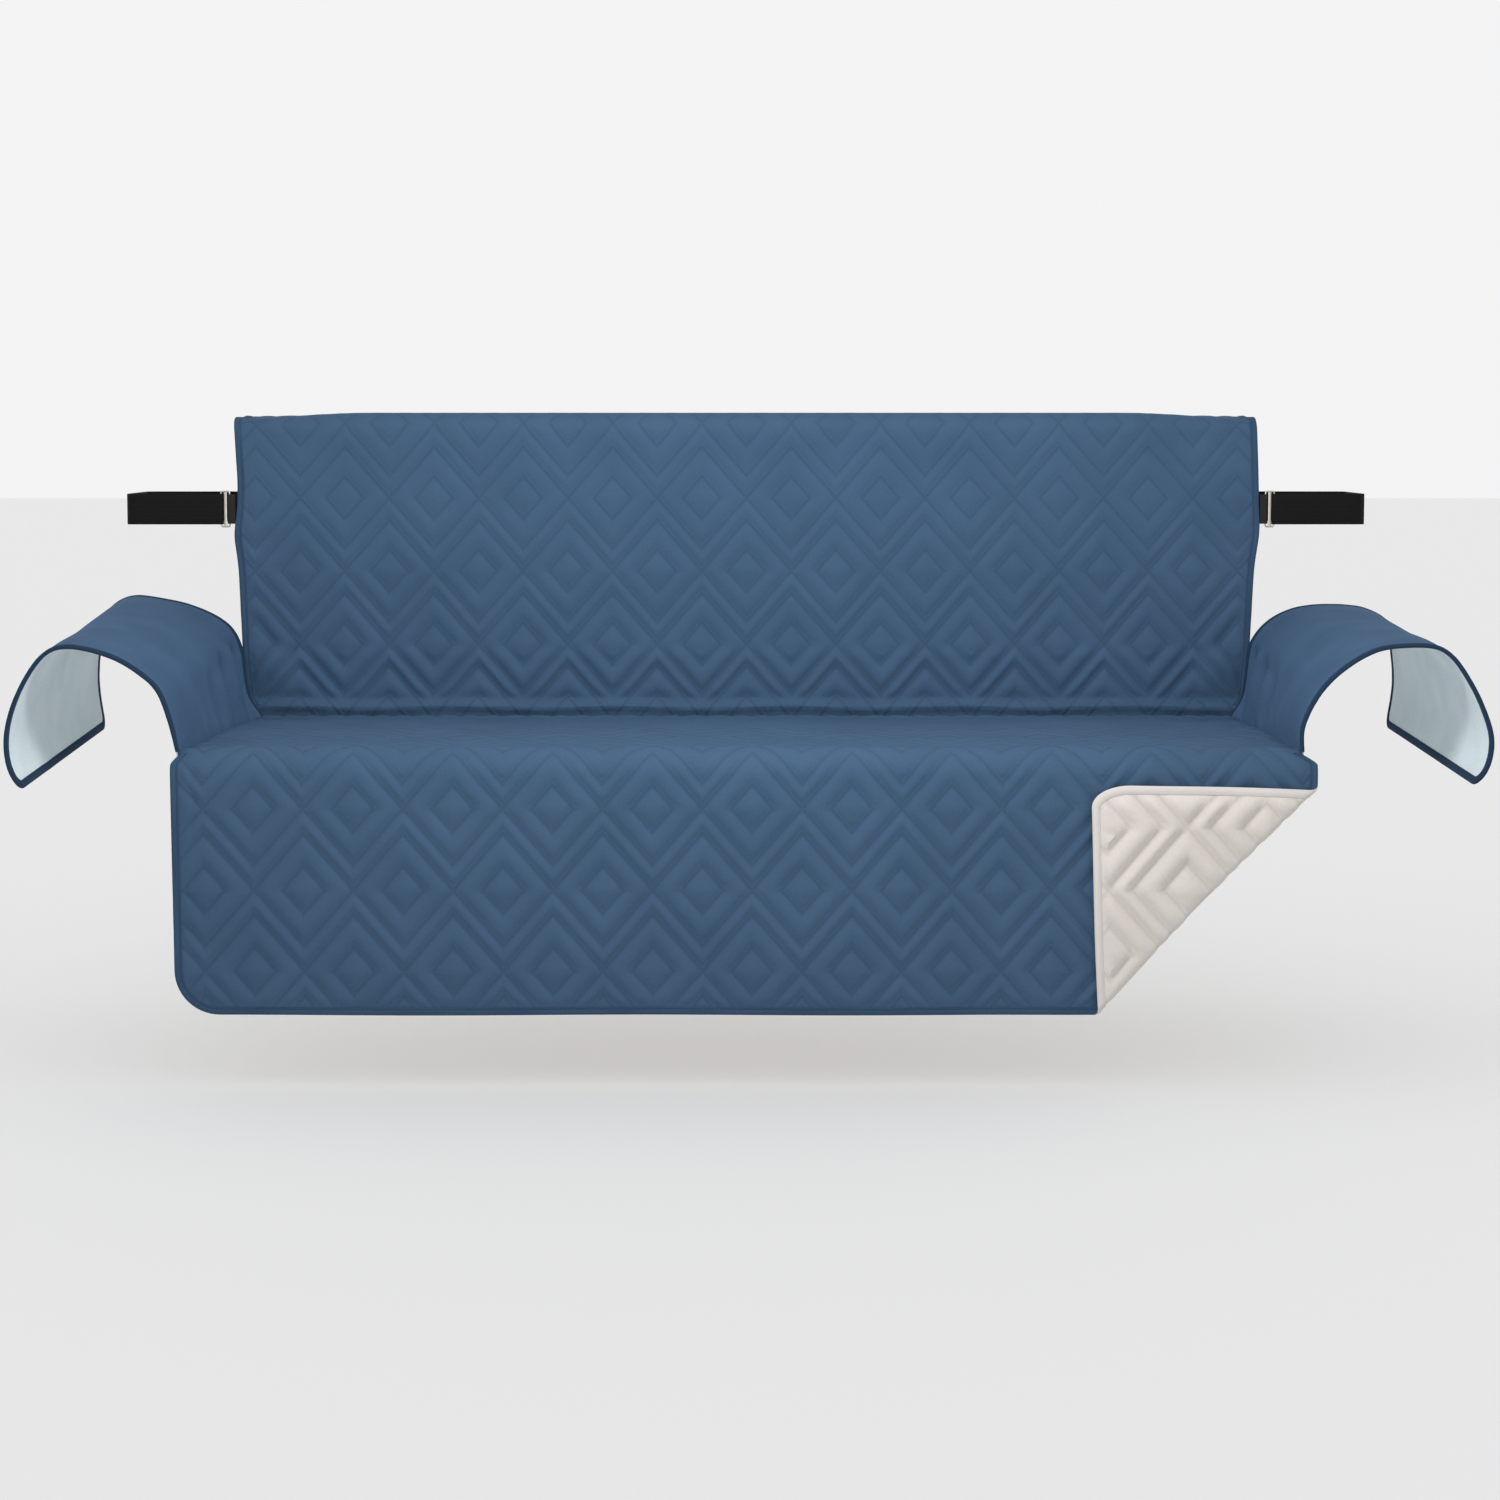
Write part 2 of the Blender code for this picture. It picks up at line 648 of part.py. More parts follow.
class ArmCloth:
    """An arm panel's flat cloth, in metres from its seat seam and from its rear edge."""

    def __init__(self, side, stations):
        self.side = side
        seam_z = RUN[4].z
        rear_foot = Vector((seat_side(side, rear_y(seam_z)), seam_z))
        front_foot = Vector((seat_side(side, ARM_FRONT_Y), seam_z))
        rear = [rear_foot] + [Vector((s.rear_x, s.rear_z)) for s in stations]
        front = [front_foot] + [Vector((s.front_x, s.front_z)) for s in stations]
        self.rear = curve_through(rear, ARM_SECTION_POINTS)
        self.front = curve_through(front, ARM_SECTION_POINTS)
        self.round = sum((b - a).length for a, b in zip(self.front, self.front[1:]))
        self.long = rear_y(seam_z) - ARM_FRONT_Y

    def middle(self, t, w):
        """The middle of the cloth, at t of the way round and w of the way to the front."""
        i = min(ARM_SECTION_POINTS - 1, int(t * ARM_SECTION_POINTS))
        part = t * ARM_SECTION_POINTS - i
        front = self.front[i].lerp(self.front[i + 1], part)
        rear = self.rear[i].lerp(self.rear[i + 1], part)
        here = rear.lerp(front, w)
        y = rear_y(here.y) + (ARM_FRONT_Y - rear_y(here.y)) * w
        return Vector((here.x + CLOTH / 2 + GAP, y, here.y))

    def place(self, point, off=0.0):
        """A point of the flat cloth as it hangs, off metres out from the middle of the cloth."""
        t, w = point[0] / self.round, point[1] / self.long
        before, after = max(0.0, t - SLOPE_STEP), min(1.0, t + SLOPE_STEP)
        along = self.middle(after, w) - self.middle(before, w)
        before, after = max(0.0, w - SLOPE_STEP), min(1.0, w + SLOPE_STEP)
        forward = self.middle(t, after) - self.middle(t, before)
        outward = forward.cross(along).normalized()
        found = self.middle(t, w) + outward * off
        return Vector((self.side * found.x, found.y, found.z))

    def edge(self, inset):
        """The bound edge: along the rear from the seam, the outer hem, and back along the front."""
        straight = self.round - ARM_CORNER
        round_off = ARM_CORNER - inset
        sides = stops(BINDING_THICKNESS, straight, ARM_STEP_ROUND)
        turns = [math.pi / 2 * i / ARM_CORNER_STEPS for i in range(ARM_CORNER_STEPS + 1)]
        near, far = ARM_CORNER, self.long - ARM_CORNER
        rear = [(r, inset) for r in sides]
        rear_turn = [
            (straight + round_off * math.sin(a), near - round_off * math.cos(a)) for a in turns
        ]
        hem = [(self.round - inset, w) for w in stops(near, far, ARM_STEP_ALONG)]
        front_turn = [
            (straight + round_off * math.cos(a), far + round_off * math.sin(a)) for a in turns
        ]
        front = [(r, self.long - inset) for r in reversed(sides)]
        return rear[:-1] + rear_turn + hem[1:-1] + front_turn + front[1:]


def arm_panel(cover, name, cloth, material):
    inset = BINDING_WIDTH + EDGE_GAP
    seam = [(0.0, w) for w in reversed(stops(inset, cloth.long - inset, ARM_STEP_ALONG))]
    outline = cloth.edge(inset) + seam
    clear = ARM_STEP_ROUND
    across = [
        (r, w)
        for r in stops(clear, cloth.round - inset - clear, ARM_STEP_ROUND)
        for w in stops(inset + clear, cloth.long - inset - clear, ARM_STEP_ALONG)
    ]
    points, faces, rims = [], [], []
    for side in (1, -1):
        spots, triangles, rim = face_of_cloth(outline, [], across)
        base = len(points)
        points += [cloth.place(spot, side * CLOTH / 2) for spot in spots]
        faces += [[base + i for i in triangle] for triangle in triangles]
        rims.append([base + i for i in rim])
    faces += rim_faces(*rims)
    return add_mesh(cover, name, closed_mesh(name, points, faces), material)


# ---------------------------------------------------------------- strap, sliders and tabs


def band(cover, name, line, thickness, height, material):
    """A flat band on edge: its middle line in plan, as a filled outline extruded up and down."""
    spread = []
    for i, point in enumerate(line):
        before = line[max(i - 1, 0)]
        after = line[min(i + 1, len(line) - 1)]
        into, out = point - before, after - point
        into = into.normalized() if into.length else out.normalized()
        out = out.normalized() if out.length else into
        across = Vector((-(into + out).y, (into + out).x)).normalized()
        stretch = 1 / max(0.5, across.dot(Vector((-into.y, into.x))))
        spread.append(across * stretch * thickness / 2)
    outline = [p + d for p, d in zip(line, spread)]
    outline += [p - d for p, d in reversed(list(zip(line, spread)))]
    form = bmesh.new()
    lower = [form.verts.new((p.x, p.y, STRAP_Z - height / 2)) for p in outline]
    foot = form.faces.new(lower)
    lifted = bmesh.ops.extrude_face_region(form, geom=[foot])
    upper = [v for v in lifted["geom"] if isinstance(v, bmesh.types.BMVert)]
    bmesh.ops.translate(form, verts=upper, vec=(0, 0, height))
    bmesh.ops.triangulate(form, faces=form.faces, ngon_method="EAR_CLIP")
    bmesh.ops.recalc_face_normals(form, faces=form.faces)
    mesh = bpy.data.meshes.new(name)
    form.to_mesh(mesh)
    form.free()
    return add_mesh(cover, name, mesh, material)


def arc_line(centre, radius, start, sweep, steps):
    angles = [start + sweep * i / steps for i in range(steps + 1)]
    return [centre + radius * Vector((math.cos(a), math.sin(a))) for a in angles]


def strap_parts(cover, elastic, webbing, metal):
    level = run_at(s_at_height(STRAP_Z))[0].x
    bar = SLIDER_BAR / 2 * math.sqrt(2)
    loop = bar + LOOP_CLEARANCE + STRAP_THICKNESS / 2
    tab_loop = bar + LOOP_CLEARANCE + TAB_THICKNESS / 2
    tab_ends = [s_at_height(STRAP_Z + way * TAB_HEIGHT / 2) for way in (-1, 1)]
    ends = []
    for side in (-1, 1):
        edge = side * (max(half_width(s, side) for s in tab_ends) + GAP)
        inner_bar = edge + side * TAB_REACH
        outer_bar = inner_bar + side * (SLIDER_WIDTH - SLIDER_BAR)
        word = "left" if side < 0 else "right"
        slider(cover, f"slider_{word}", inner_bar, outer_bar, level, metal)
        centre = Vector((inner_bar, level))
        start = -math.pi / 2
        turn = arc_line(centre, tab_loop, start, side * math.pi, LOOP_STEPS)
        tab = [Vector((edge, turn[0].y))] + turn + [Vector((edge, turn[-1].y))]
        band(cover, f"tab_{word}", tab, TAB_THICKNESS, TAB_HEIGHT, webbing)
        centre = Vector((outer_bar, level))
        turn = arc_line(centre, loop, math.pi / 2, side * math.pi, LOOP_STEPS)
        back = centre + Vector((side * STRAP_RETURN, loop))
        ends.append([back] + turn)
    left, right = ends
    wrap = []
    front = level - loop
    for x, y, start in (
        (-1, front, 1.5),
        (-1, STRAP_REAR_Y, 1.0),
        (1, STRAP_REAR_Y, 0.5),
        (1, front, 0.0),
    ):
        inner_x = x * (STRAP_HALF_WIDTH - STRAP_TURN)
        inner_y = y + STRAP_TURN if y == front else y - STRAP_TURN
        centre = Vector((inner_x, inner_y))
        wrap += arc_line(centre, STRAP_TURN, start * math.pi, -math.pi / 2, TURN_STEPS)
    line = left + wrap + list(reversed(right))
    band(cover, "strap", line, STRAP_THICKNESS, STRAP_HEIGHT, elastic)


def s_at_height(z):
    """The cloth's s where it passes a height on the front of the back."""
    leg = LEGS[4]
    return leg.start - TUCK + (leg.at.y - z) / abs(leg.heading.y)


def slider(cover, name, inner_x, outer_x, y, material):
    """A flat metal frame: four bars round an opening that the tab and the strap share."""
    bar = SLIDER_BAR
    low, high = min(inner_x, outer_x) - bar / 2, max(inner_x, outer_x) + bar / 2
    form = bmesh.new()
    corners = []
    for grow in (0.0, bar):
        a, b = low + grow, high - grow
        tall = SLIDER_HEIGHT / 2 - grow
        ring = [(a, -tall), (b, -tall), (b, tall), (a, tall)]
        for depth in (-bar / 2, bar / 2):
            corners.append([form.verts.new((x, y + depth, STRAP_Z + z)) for x, z in ring])
    outer_front, outer_back, inner_front, inner_back = corners
    for i in range(4):
        j = (i + 1) % 4
        form.faces.new([outer_front[i], outer_front[j], inner_front[j], inner_front[i]])
        form.faces.new([outer_back[i], outer_back[j], inner_back[j], inner_back[i]])
        form.faces.new([outer_front[i], outer_front[j], outer_back[j], outer_back[i]])
        form.faces.new([inner_front[i], inner_front[j], inner_back[j], inner_back[i]])
    bmesh.ops.recalc_face_normals(form, faces=form.faces)
    mesh = bpy.data.meshes.new(name)
    form.to_mesh(mesh)
    form.free()
    return add_mesh(cover, name, mesh, material)


def build():
    cover = start_scene()
    quilted = finish("quilted_cloth", BLUE, 0.85)
    plain = finish("arm_cloth", ARM_BLUE, 0.85)
    navy = finish("edge_binding", NAVY, 0.8)
    elastic = finish("black_elastic", BLACK, 0.75)
    webbing = finish("black_webbing", BLACK, 0.7)
    metal = finish("slider_metal", METAL, 0.3, 1.0)
    main_panel(cover, quilted)

    def panel_place(point, off):
        return draped(*point, off)

    binding(cover, "binding_back", back_edge, panel_place, navy)
    binding(cover, "binding_apron", front_edge, panel_place, navy)
    for word, side, stations in (("left", -1, LEFT_ARM), ("right", 1, RIGHT_ARM)):
        cloth = ArmCloth(side, stations)
        arm_panel(cover, f"arm_panel_{word}", cloth, plain)
        binding(cover, f"binding_arm_{word}", cloth.edge, cloth.place, navy)
    strap_parts(cover, elastic, webbing, metal)


build()
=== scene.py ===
"""Looks of a reversible quilted slipcover that is draped over a back, a seat and two arms."""

import json
import math

import bpy
import numpy as np
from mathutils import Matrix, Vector, noise
from mathutils.geometry import delaunay_2d_cdt

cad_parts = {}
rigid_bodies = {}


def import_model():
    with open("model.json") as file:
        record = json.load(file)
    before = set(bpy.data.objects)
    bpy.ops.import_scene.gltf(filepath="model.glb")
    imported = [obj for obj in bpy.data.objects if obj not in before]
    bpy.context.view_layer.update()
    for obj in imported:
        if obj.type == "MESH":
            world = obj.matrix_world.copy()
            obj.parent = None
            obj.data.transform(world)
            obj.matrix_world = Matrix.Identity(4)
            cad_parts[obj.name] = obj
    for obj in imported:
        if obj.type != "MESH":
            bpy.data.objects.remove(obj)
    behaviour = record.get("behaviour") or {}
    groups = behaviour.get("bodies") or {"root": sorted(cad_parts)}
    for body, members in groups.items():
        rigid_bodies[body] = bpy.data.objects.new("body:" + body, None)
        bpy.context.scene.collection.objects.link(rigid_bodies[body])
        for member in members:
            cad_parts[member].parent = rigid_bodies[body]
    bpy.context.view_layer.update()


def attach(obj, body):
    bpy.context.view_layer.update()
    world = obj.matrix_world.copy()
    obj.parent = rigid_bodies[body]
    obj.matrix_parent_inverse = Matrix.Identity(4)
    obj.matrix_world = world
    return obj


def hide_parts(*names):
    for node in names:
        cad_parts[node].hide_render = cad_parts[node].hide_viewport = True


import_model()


# ------------------------------------------------------------ camera, floor and light
# Seen from the front, a little from above and through a long lens, as a shop's picture is taken.
# The floor is plain and pale, and the light is soft, with more of it from above the middle.

CAMERA_PLACE = (-0.0015, -5.74, -0.011)
CAMERA_DOWN = 5.4
CAMERA_TURN = -0.083
SENSOR = 36.0
FOCAL_PIXELS = 3438 / 1500
FLOOR_Z = -0.98
FLOOR_SIZE = 80.0
SURROUND = 0.70
BACKDROP = 0.90
FLOOR_GLOW = 0.24

camera = bpy.data.objects.new("camera", bpy.data.cameras.new("camera"))
camera.data.sensor_fit = "HORIZONTAL"
camera.data.sensor_width = SENSOR
camera.data.lens = FOCAL_PIXELS * SENSOR
camera.location = CAMERA_PLACE
camera.rotation_euler = (math.radians(90 - CAMERA_DOWN), 0, math.radians(CAMERA_TURN))
bpy.context.scene.collection.objects.link(camera)
bpy.context.scene.camera = camera
bpy.context.scene.view_settings.view_transform = "Standard"

floor_mesh = bpy.data.meshes.new("floor")
half_floor = FLOOR_SIZE / 2
floor_corners = [(x * half_floor, y * half_floor, FLOOR_Z) for x, y in ((-1, -1), (1, -1), (1, 1), (-1, 1))]
floor_mesh.from_pydata(floor_corners, [], [(0, 1, 2, 3)])
floor = bpy.data.objects.new("floor", floor_mesh)
bpy.context.scene.collection.objects.link(floor)
pale = bpy.data.materials.new("pale_floor")
pale.use_nodes = True
floor_shader = pale.node_tree.nodes["Principled BSDF"]
floor_shader.inputs["Base Color"].default_value = (0.80, 0.80, 0.80, 1)
floor_shader.inputs["Roughness"].default_value = 0.9
floor_shader.inputs["Emission Color"].default_value = (1, 1, 1, 1)
floor_shader.inputs["Emission Strength"].default_value = FLOOR_GLOW
floor_mesh.materials.append(pale)

world = bpy.data.worlds.new("studio")
world.use_nodes = True
links, nodes = world.node_tree.links, world.node_tree.nodes
nodes["Background"].inputs["Color"].default_value = (1, 1, 1, 1)
seen = nodes.new("ShaderNodeLightPath")
strength_seen = nodes.new("ShaderNodeMix")
strength_seen.inputs[2].default_value, strength_seen.inputs[3].default_value = SURROUND, BACKDROP
links.new(seen.outputs["Is Camera Ray"], strength_seen.inputs[0])
links.new(strength_seen.outputs[0], nodes["Background"].inputs["Strength"])
bpy.context.scene.world = world


def lamp(name, place, target, size, power):
    light = bpy.data.lights.new(name, "AREA")
    light.shape = "RECTANGLE"
    light.size, light.size_y = size
    light.energy = power
    made = bpy.data.objects.new(name, light)
    made.location = place
    made.rotation_euler = (Vector(target) - Vector(place)).to_track_quat("-Z", "Y").to_euler()
    bpy.context.scene.collection.objects.link(made)
    return made


key = lamp("key", (0.0, -1.6, 0.5), (0.0, 0.2, 0.25), (1.0, 0.3), 20)


# ------------------------------------------------------------ main panel
# One cloth of two brushed microfibre layers, blue and off-white, padded and quilted together in
# rows of diamonds. It hangs behind the back, runs over its top and into the tuck, covers the seat
# and hangs down in front, where one corner is turned up.

CLOTH = 0.004
QUILT_RISE = 0.0042
RUN = (
    (0.088, -0.440, 0.0),
    (0.088, 0.002, 0.035),
    (-0.080, 0.002, 0.030),
    (-0.148, -0.525, 0.0055),
    (-0.168, -0.486, 0.012),
    (-0.742, -0.486, 0.036),
    (-0.742, -0.875, 0.0),
)


def legs_of(corners):
    """Straight legs and the arcs between them: start, length, point, heading, radius, turn."""
    legs = []
    here = Vector(corners[0][:2])
    s = 0.0
    for i in range(1, len(corners)):
        point, radius = Vector(corners[i][:2]), corners[i][2]
        heading = (point - here).normalized()
        turn = 0.0
        if radius:
            onward = (Vector(corners[i + 1][:2]) - point).normalized()
            turn = math.atan2(heading.cross(onward), heading.dot(onward))
        cut = radius * math.tan(abs(turn) / 2)
        length = (point - here).length - cut
        legs.append((s, length, here, heading, 0.0, 0.0))
        s += length
        here = point - heading * cut
        if radius:
            legs.append((s, radius * abs(turn), here, heading, radius, turn))
            s += radius * abs(turn)
            here = point + onward * cut
    return legs


LEGS = legs_of(RUN)
TUCK = LEGS[5][0] + LEGS[5][1] / 2
REAR_HEM = -TUCK
FRONT_HEM = LEGS[-1][0] + LEGS[-1][1] - TUCK
APRON_START = LEGS[-1][0] - TUCK
SEAT_START = LEGS[8][0] - TUCK
SEAT_END = SEAT_START + LEGS[8][1]
BENDS = [(leg[0] - TUCK, leg[0] + leg[1] - TUCK, leg[4]) for leg in LEGS if leg[4]]


def run_at(s):
    """The point and the outward direction, in y and z, of the cloth's run at s from the tuck."""
    along = s + TUCK
    leg = LEGS[0]
    for later in LEGS:
        if along >= later[0]:
            leg = later
    start, _, at, heading, radius, turn = leg
    left = Vector((-heading.y, heading.x))
    reach = along - start
    if not radius:
        return at + heading * reach, -left
    angle = reach / radius
    side = math.copysign(1, turn)
    point = at + radius * (math.sin(angle) * heading + side * (1 - math.cos(angle)) * left)
    heading = math.cos(angle) * heading + side * math.sin(angle) * left
    return point, Vector((heading.y, -heading.x))


def step(low, high, value):
    t = min(1.0, max(0.0, (value - low) / (high - low)))
    return t * t * (3 - 2 * t)


# The cut's half widths, left and right, by the length from the tuck
WIDTHS = (
    (-1.140, 0.838, 0.838),
    (-0.530, 0.841, 0.838),
    (-0.410, 0.832, 0.840),
    (-0.350, 0.834, 0.841),
    (-0.335, 0.839, 0.842),
    (-0.275, 0.830, 0.832),
    (-0.130, 0.822, 0.823),
    (-0.060, 0.814, 0.815),
    (-0.045, 0.801, 0.803),
    (0.045, 0.801, 0.803),
    (0.590, 0.829, 0.812),
    (0.608, 0.842, 0.836),
    (1.100, 0.839, 0.837),
)
BACK_EDGE_START = -0.048
FRONT_EDGE_START = 0.590
CORNER_RADIUS = 0.066
TURNED_CORNER = (0.032, 0.060)
EDGE_INSET = 0.0115

WIDTH_STEP = 0.003
width_places = np.arange(WIDTHS[0][0], WIDTHS[-1][0], WIDTH_STEP)
smooth_widths = []
for column in (1, 2):
    exact = np.interp(width_places, [w[0] for w in WIDTHS], [w[column] for w in WIDTHS])
    soft = np.convolve(np.pad(exact, 6, mode="edge"), np.ones(13) / 13, mode="valid")
    near_step = np.minimum(abs(width_places - BACK_EDGE_START), abs(width_places - FRONT_EDGE_START))
    keep = np.clip((near_step - 0.03) / 0.03, 0, 1)
    smooth_widths.append(exact * (1 - keep) + soft * keep)


def half_width(s, side):
    return float(np.interp(s, width_places, smooth_widths[0 if side < 0 else 1]))


# Soft troughs (depth below 0) and ridges in the lie of the cloth: u, s to u, s, width and depth
LIE = (
    (-0.810, -0.205, -0.757, -0.130, 0.008, -0.004),
    (-0.762, -0.136, -0.718, -0.137, 0.006, -0.003),
    (-0.795, -0.125, -0.735, -0.075, 0.026, 0.007),
    (0.812, -0.205, 0.760, -0.130, 0.008, -0.004),
    (0.764, -0.136, 0.722, -0.137, 0.006, -0.003),
    (0.795, -0.125, 0.735, -0.075, 0.026, 0.007),
    (-0.790, 0.060, -0.700, 0.120, 0.016, -0.004),
    (0.790, 0.060, 0.680, 0.130, 0.016, -0.004),
    (-0.806, 0.615, -0.811, 0.700, 0.005, -0.003),
    (-0.845, 0.808, -0.800, 0.800, 0.006, -0.002),
    (-0.845, 0.856, -0.805, 0.850, 0.006, -0.002),
    (0.5005, 0.790, 0.5005, 0.990, 0.003, -0.002),
)


def fold_in(x, y, folds):
    """The rise of all soft troughs and ridges at a point of a flat cloth."""
    rise = 0.0
    for x0, y0, x1, y1, width, depth in folds:
        if abs(x - x0) > 0.35 or abs(y - y0) > 0.35:
            continue
        dx, dy = x1 - x0, y1 - y0
        t = ((x - x0) * dx + (y - y0) * dy) / (dx * dx + dy * dy)
        t = min(1.0, max(0.0, t))
        away = math.hypot(x - x0 - t * dx, y - y0 - t * dy)
        rise += depth * math.exp(-((away / width) ** 2)) * (1 - abs(2 * t - 1) ** 3)
    return rise


def pucker(away, along):
    """The small puckers that a sewn seam pulls into the cloth beside it, most near the tuck."""
    depth = 0.0045 + 0.0075 * math.exp(-((along / 0.12) ** 2))
    return depth * noise.noise((along * 42, away * 9, 0)) * math.exp(-((away / 0.030) ** 2))


APRON_WAVE, WAVE_LENGTH = 0.004, 0.62
ROLL_PLACE, ROLL_RISE, ROLL_WIDTH = 0.045, 0.009, 0.009
SEAM_DIP = 0.006


def drape(u, s):
    """How far the cloth stands off its run: droop, crown, waves and the listed soft folds."""
    rise = max(-0.0035, fold_in(u, s, LIE))
    side = half_width(s, math.copysign(1, u)) - abs(u)
    if s < -0.02:
        top = step(-0.66, -0.60, s) * (1 - step(-0.50, -0.44, s))
        rise += top * (0.004 - 0.010 * step(0.62, 0.86, abs(u)))
        rise += 0.003 * top * (1 - step(0.002, 0.016, side))
        hollow = step(-0.46, -0.38, s) * (1 - step(-0.10, -0.03, s))
        rise += 0.002 * math.sin(9 * u + 1.0) * math.sin(8 * s) * hollow
        slack = 1 + 0.25 * noise.noise((u * 9, 7, 0))
        roll = s + ROLL_PLACE + 0.002 * math.sin(23 * u)
        rise += slack * ROLL_RISE * math.exp(-((roll / ROLL_WIDTH) ** 2))
        rise += 0.5 * pucker(side, s) * step(-0.30, -0.15, s)
    elif s < SEAT_END:
        rise += 0.005 * math.exp(-(((s - SEAT_START + 0.012) / 0.010) ** 2))
        t = min(1.0, max(0.0, (s - SEAT_START) / (SEAT_END - SEAT_START)))
        rise += 0.005 * math.sin(math.pi * t) ** 2
        rise += 0.0015 * math.sin(11 * u + 2.2) * step(SEAT_START, SEAT_START + 0.05, s)
        rise -= SEAM_DIP * (1 - step(0.0, 0.022, side))
        rise += pucker(side, s) * step(SEAT_START, SEAT_START + 0.02, s) * (1 - step(SEAT_END - 0.05, SEAT_END, s))
    else:
        wave = APRON_WAVE * step(APRON_START, FRONT_HEM, s) * (1 - step(0.30, 0.48, u))
        rise += wave * math.sin(2 * math.pi * u / WAVE_LENGTH)
    return rise


HEM_END = Vector((0.504, FRONT_HEM))
SIDE_END = Vector((0.837, FRONT_HEM - 0.3486))
FOLD_LINE = (SIDE_END - HEM_END).normalized()
TO_CORNER = Vector((-FOLD_LINE.y, FOLD_LINE.x))
FOLD_RADIUS = 0.006
FOLD_TURN = math.radians(178.6)
FOLD_LENGTH = FOLD_RADIUS * FOLD_TURN
FOLD_SPAN = (SIDE_END - HEM_END).length
FOLD_BOW = 0.006
FLAP_STRETCH = 0.105


def past_fold(u, s):
    """How far a point of the flat cloth lies past the fold, towards the turned-up corner."""
    return (u - HEM_END.x) * TO_CORNER.x + (s - HEM_END.y) * TO_CORNER.y


def hang(u, s, off=0.0):
    """A point of the flat cloth where it hangs, off metres out from the middle of the cloth."""
    turned = past_fold(u, s)
    if turned > 0 and s > APRON_START:
        flat = Vector((u, s)) - TO_CORNER * turned
        share = (flat - HEM_END).dot(FOLD_LINE) / FOLD_SPAN
        angle = min(turned / FOLD_RADIUS, FOLD_TURN)
        beyond = max(0.0, turned - FOLD_LENGTH)
        along = FOLD_RADIUS * math.sin(angle) + beyond * math.cos(angle)
        out = FOLD_RADIUS * (1 - math.cos(angle)) + beyond * math.sin(angle)
        bow = FOLD_BOW * 4 * share * (1 - share) * min(1.0, 2 * angle / FOLD_TURN) * (1 - step(0.0, 0.2, beyond))
        flat += TO_CORNER * (along - off * math.sin(angle) - bow)
        flat.y -= FLAP_STRETCH * beyond
        out += off * math.cos(angle)
        place, outward = run_at(flat.y)
        place = place + outward * out
        return flat.x, place.x, place.y
    place, outward = run_at(s)
    place = place + outward * (off + drape(u, s))
    return u, place.x, place.y


DIAMOND_PITCH = 0.146
ROW_PITCH = 0.120
HALF = DIAMOND_PITCH / 2
TALL = 0.0835
INNER = 0.42
FIRST_COLUMN = 0.009
FIRST_ROW = APRON_START + (LEGS[-1][2].y + 0.569)
ACROSS_LINES = HALF * TALL / math.hypot(HALF, TALL)

# The quilting lies a little apart on the back and on the turned-up corner: scale and shift, u then s
ON_BACK, ON_SEAT, ON_FLAP, BETWEEN = range(4)
QUILT_PLACES = {
    ON_BACK: (1.0, 0.008, 1.0, -0.0185),
    ON_SEAT: (1.0, 0.0, 1.0, 0.0),
    ON_FLAP: (0.831, 0.0912, 1.0127, -0.0567),
    BETWEEN: (1.0, 0.0, 1.0, 0.0),
}


def zone_of(u, s):
    turned = past_fold(u, s) if s > APRON_START else -1.0
    if abs(s) < 0.003 or 0.0060 < turned < 0.0100:
        return BETWEEN
    if s < 0:
        return ON_BACK
    return ON_FLAP if turned > 0 else ON_SEAT


def diamond_depth(u, s, row):
    """0 at the middle of a row's nearest diamond, 1 on its outline and more outside it."""
    centre_u = FIRST_COLUMN + HALF * (row % 2)
    across = (u - centre_u + HALF) % DIAMOND_PITCH - HALF
    return abs(across) / HALF + abs(s - FIRST_ROW - row * ROW_PITCH) / TALL


def stitch_distance(u, s):
    """How far a point of the flat cloth is from the nearest stitch line."""
    row = math.floor((s - FIRST_ROW) / ROW_PITCH)
    above = diamond_depth(u, s, row)
    below = diamond_depth(u, s, row + 1)
    inner = abs(min(above, below) - INNER)
    return ACROSS_LINES * min(inner, abs(above - 1), abs(below - 1))


def puff(u, s):
    """The quilting's height: nothing on a stitch line, with rounded shoulders beside it."""
    return 1 - math.exp(-((stitch_distance(u, s) / 0.0065) ** 2))


def strength(s):
    """How strongly the quilting stands up: least at the top of the back, most above the tuck."""
    if s < 0:
        top = step(-0.68, -0.64, s) * (1 - step(-0.54, -0.50, s))
        pressed = step(-0.142, -0.134, s) * (1 - step(-0.075, -0.060, s))
        raised = 0.6 - 0.3 * top + 0.4 * step(-0.45, -0.20, s) + 0.8 * pressed
        return raised * (1 - 0.8 * step(-0.070, -0.050, s))
    return 0.4 + 0.8 * step(SEAT_END, APRON_START + 0.04, s)


def room(u, s):
    """How far inside the cloth's cut edge a point is, where the binding starts or the seam runs."""
    side = math.copysign(1, u)
    across = half_width(s, side) - abs(u)
    end = min(FRONT_HEM - s, s - REAR_HEM)
    wide, tall = TURNED_CORNER
    if u > 0 and s > APRON_START and across < wide and end < tall:
        return wide * (1 - math.hypot(1 - across / wide, 1 - end / tall)) - EDGE_INSET
    if (u < 0 or s < 0) and across < CORNER_RADIUS and end < CORNER_RADIUS:
        return CORNER_RADIUS - math.hypot(CORNER_RADIUS - across, CORNER_RADIUS - end) - EDGE_INSET
    if BACK_EDGE_START + 0.006 < s < FRONT_EDGE_START - 0.006:
        return across
    return min(across, end) - EDGE_INSET


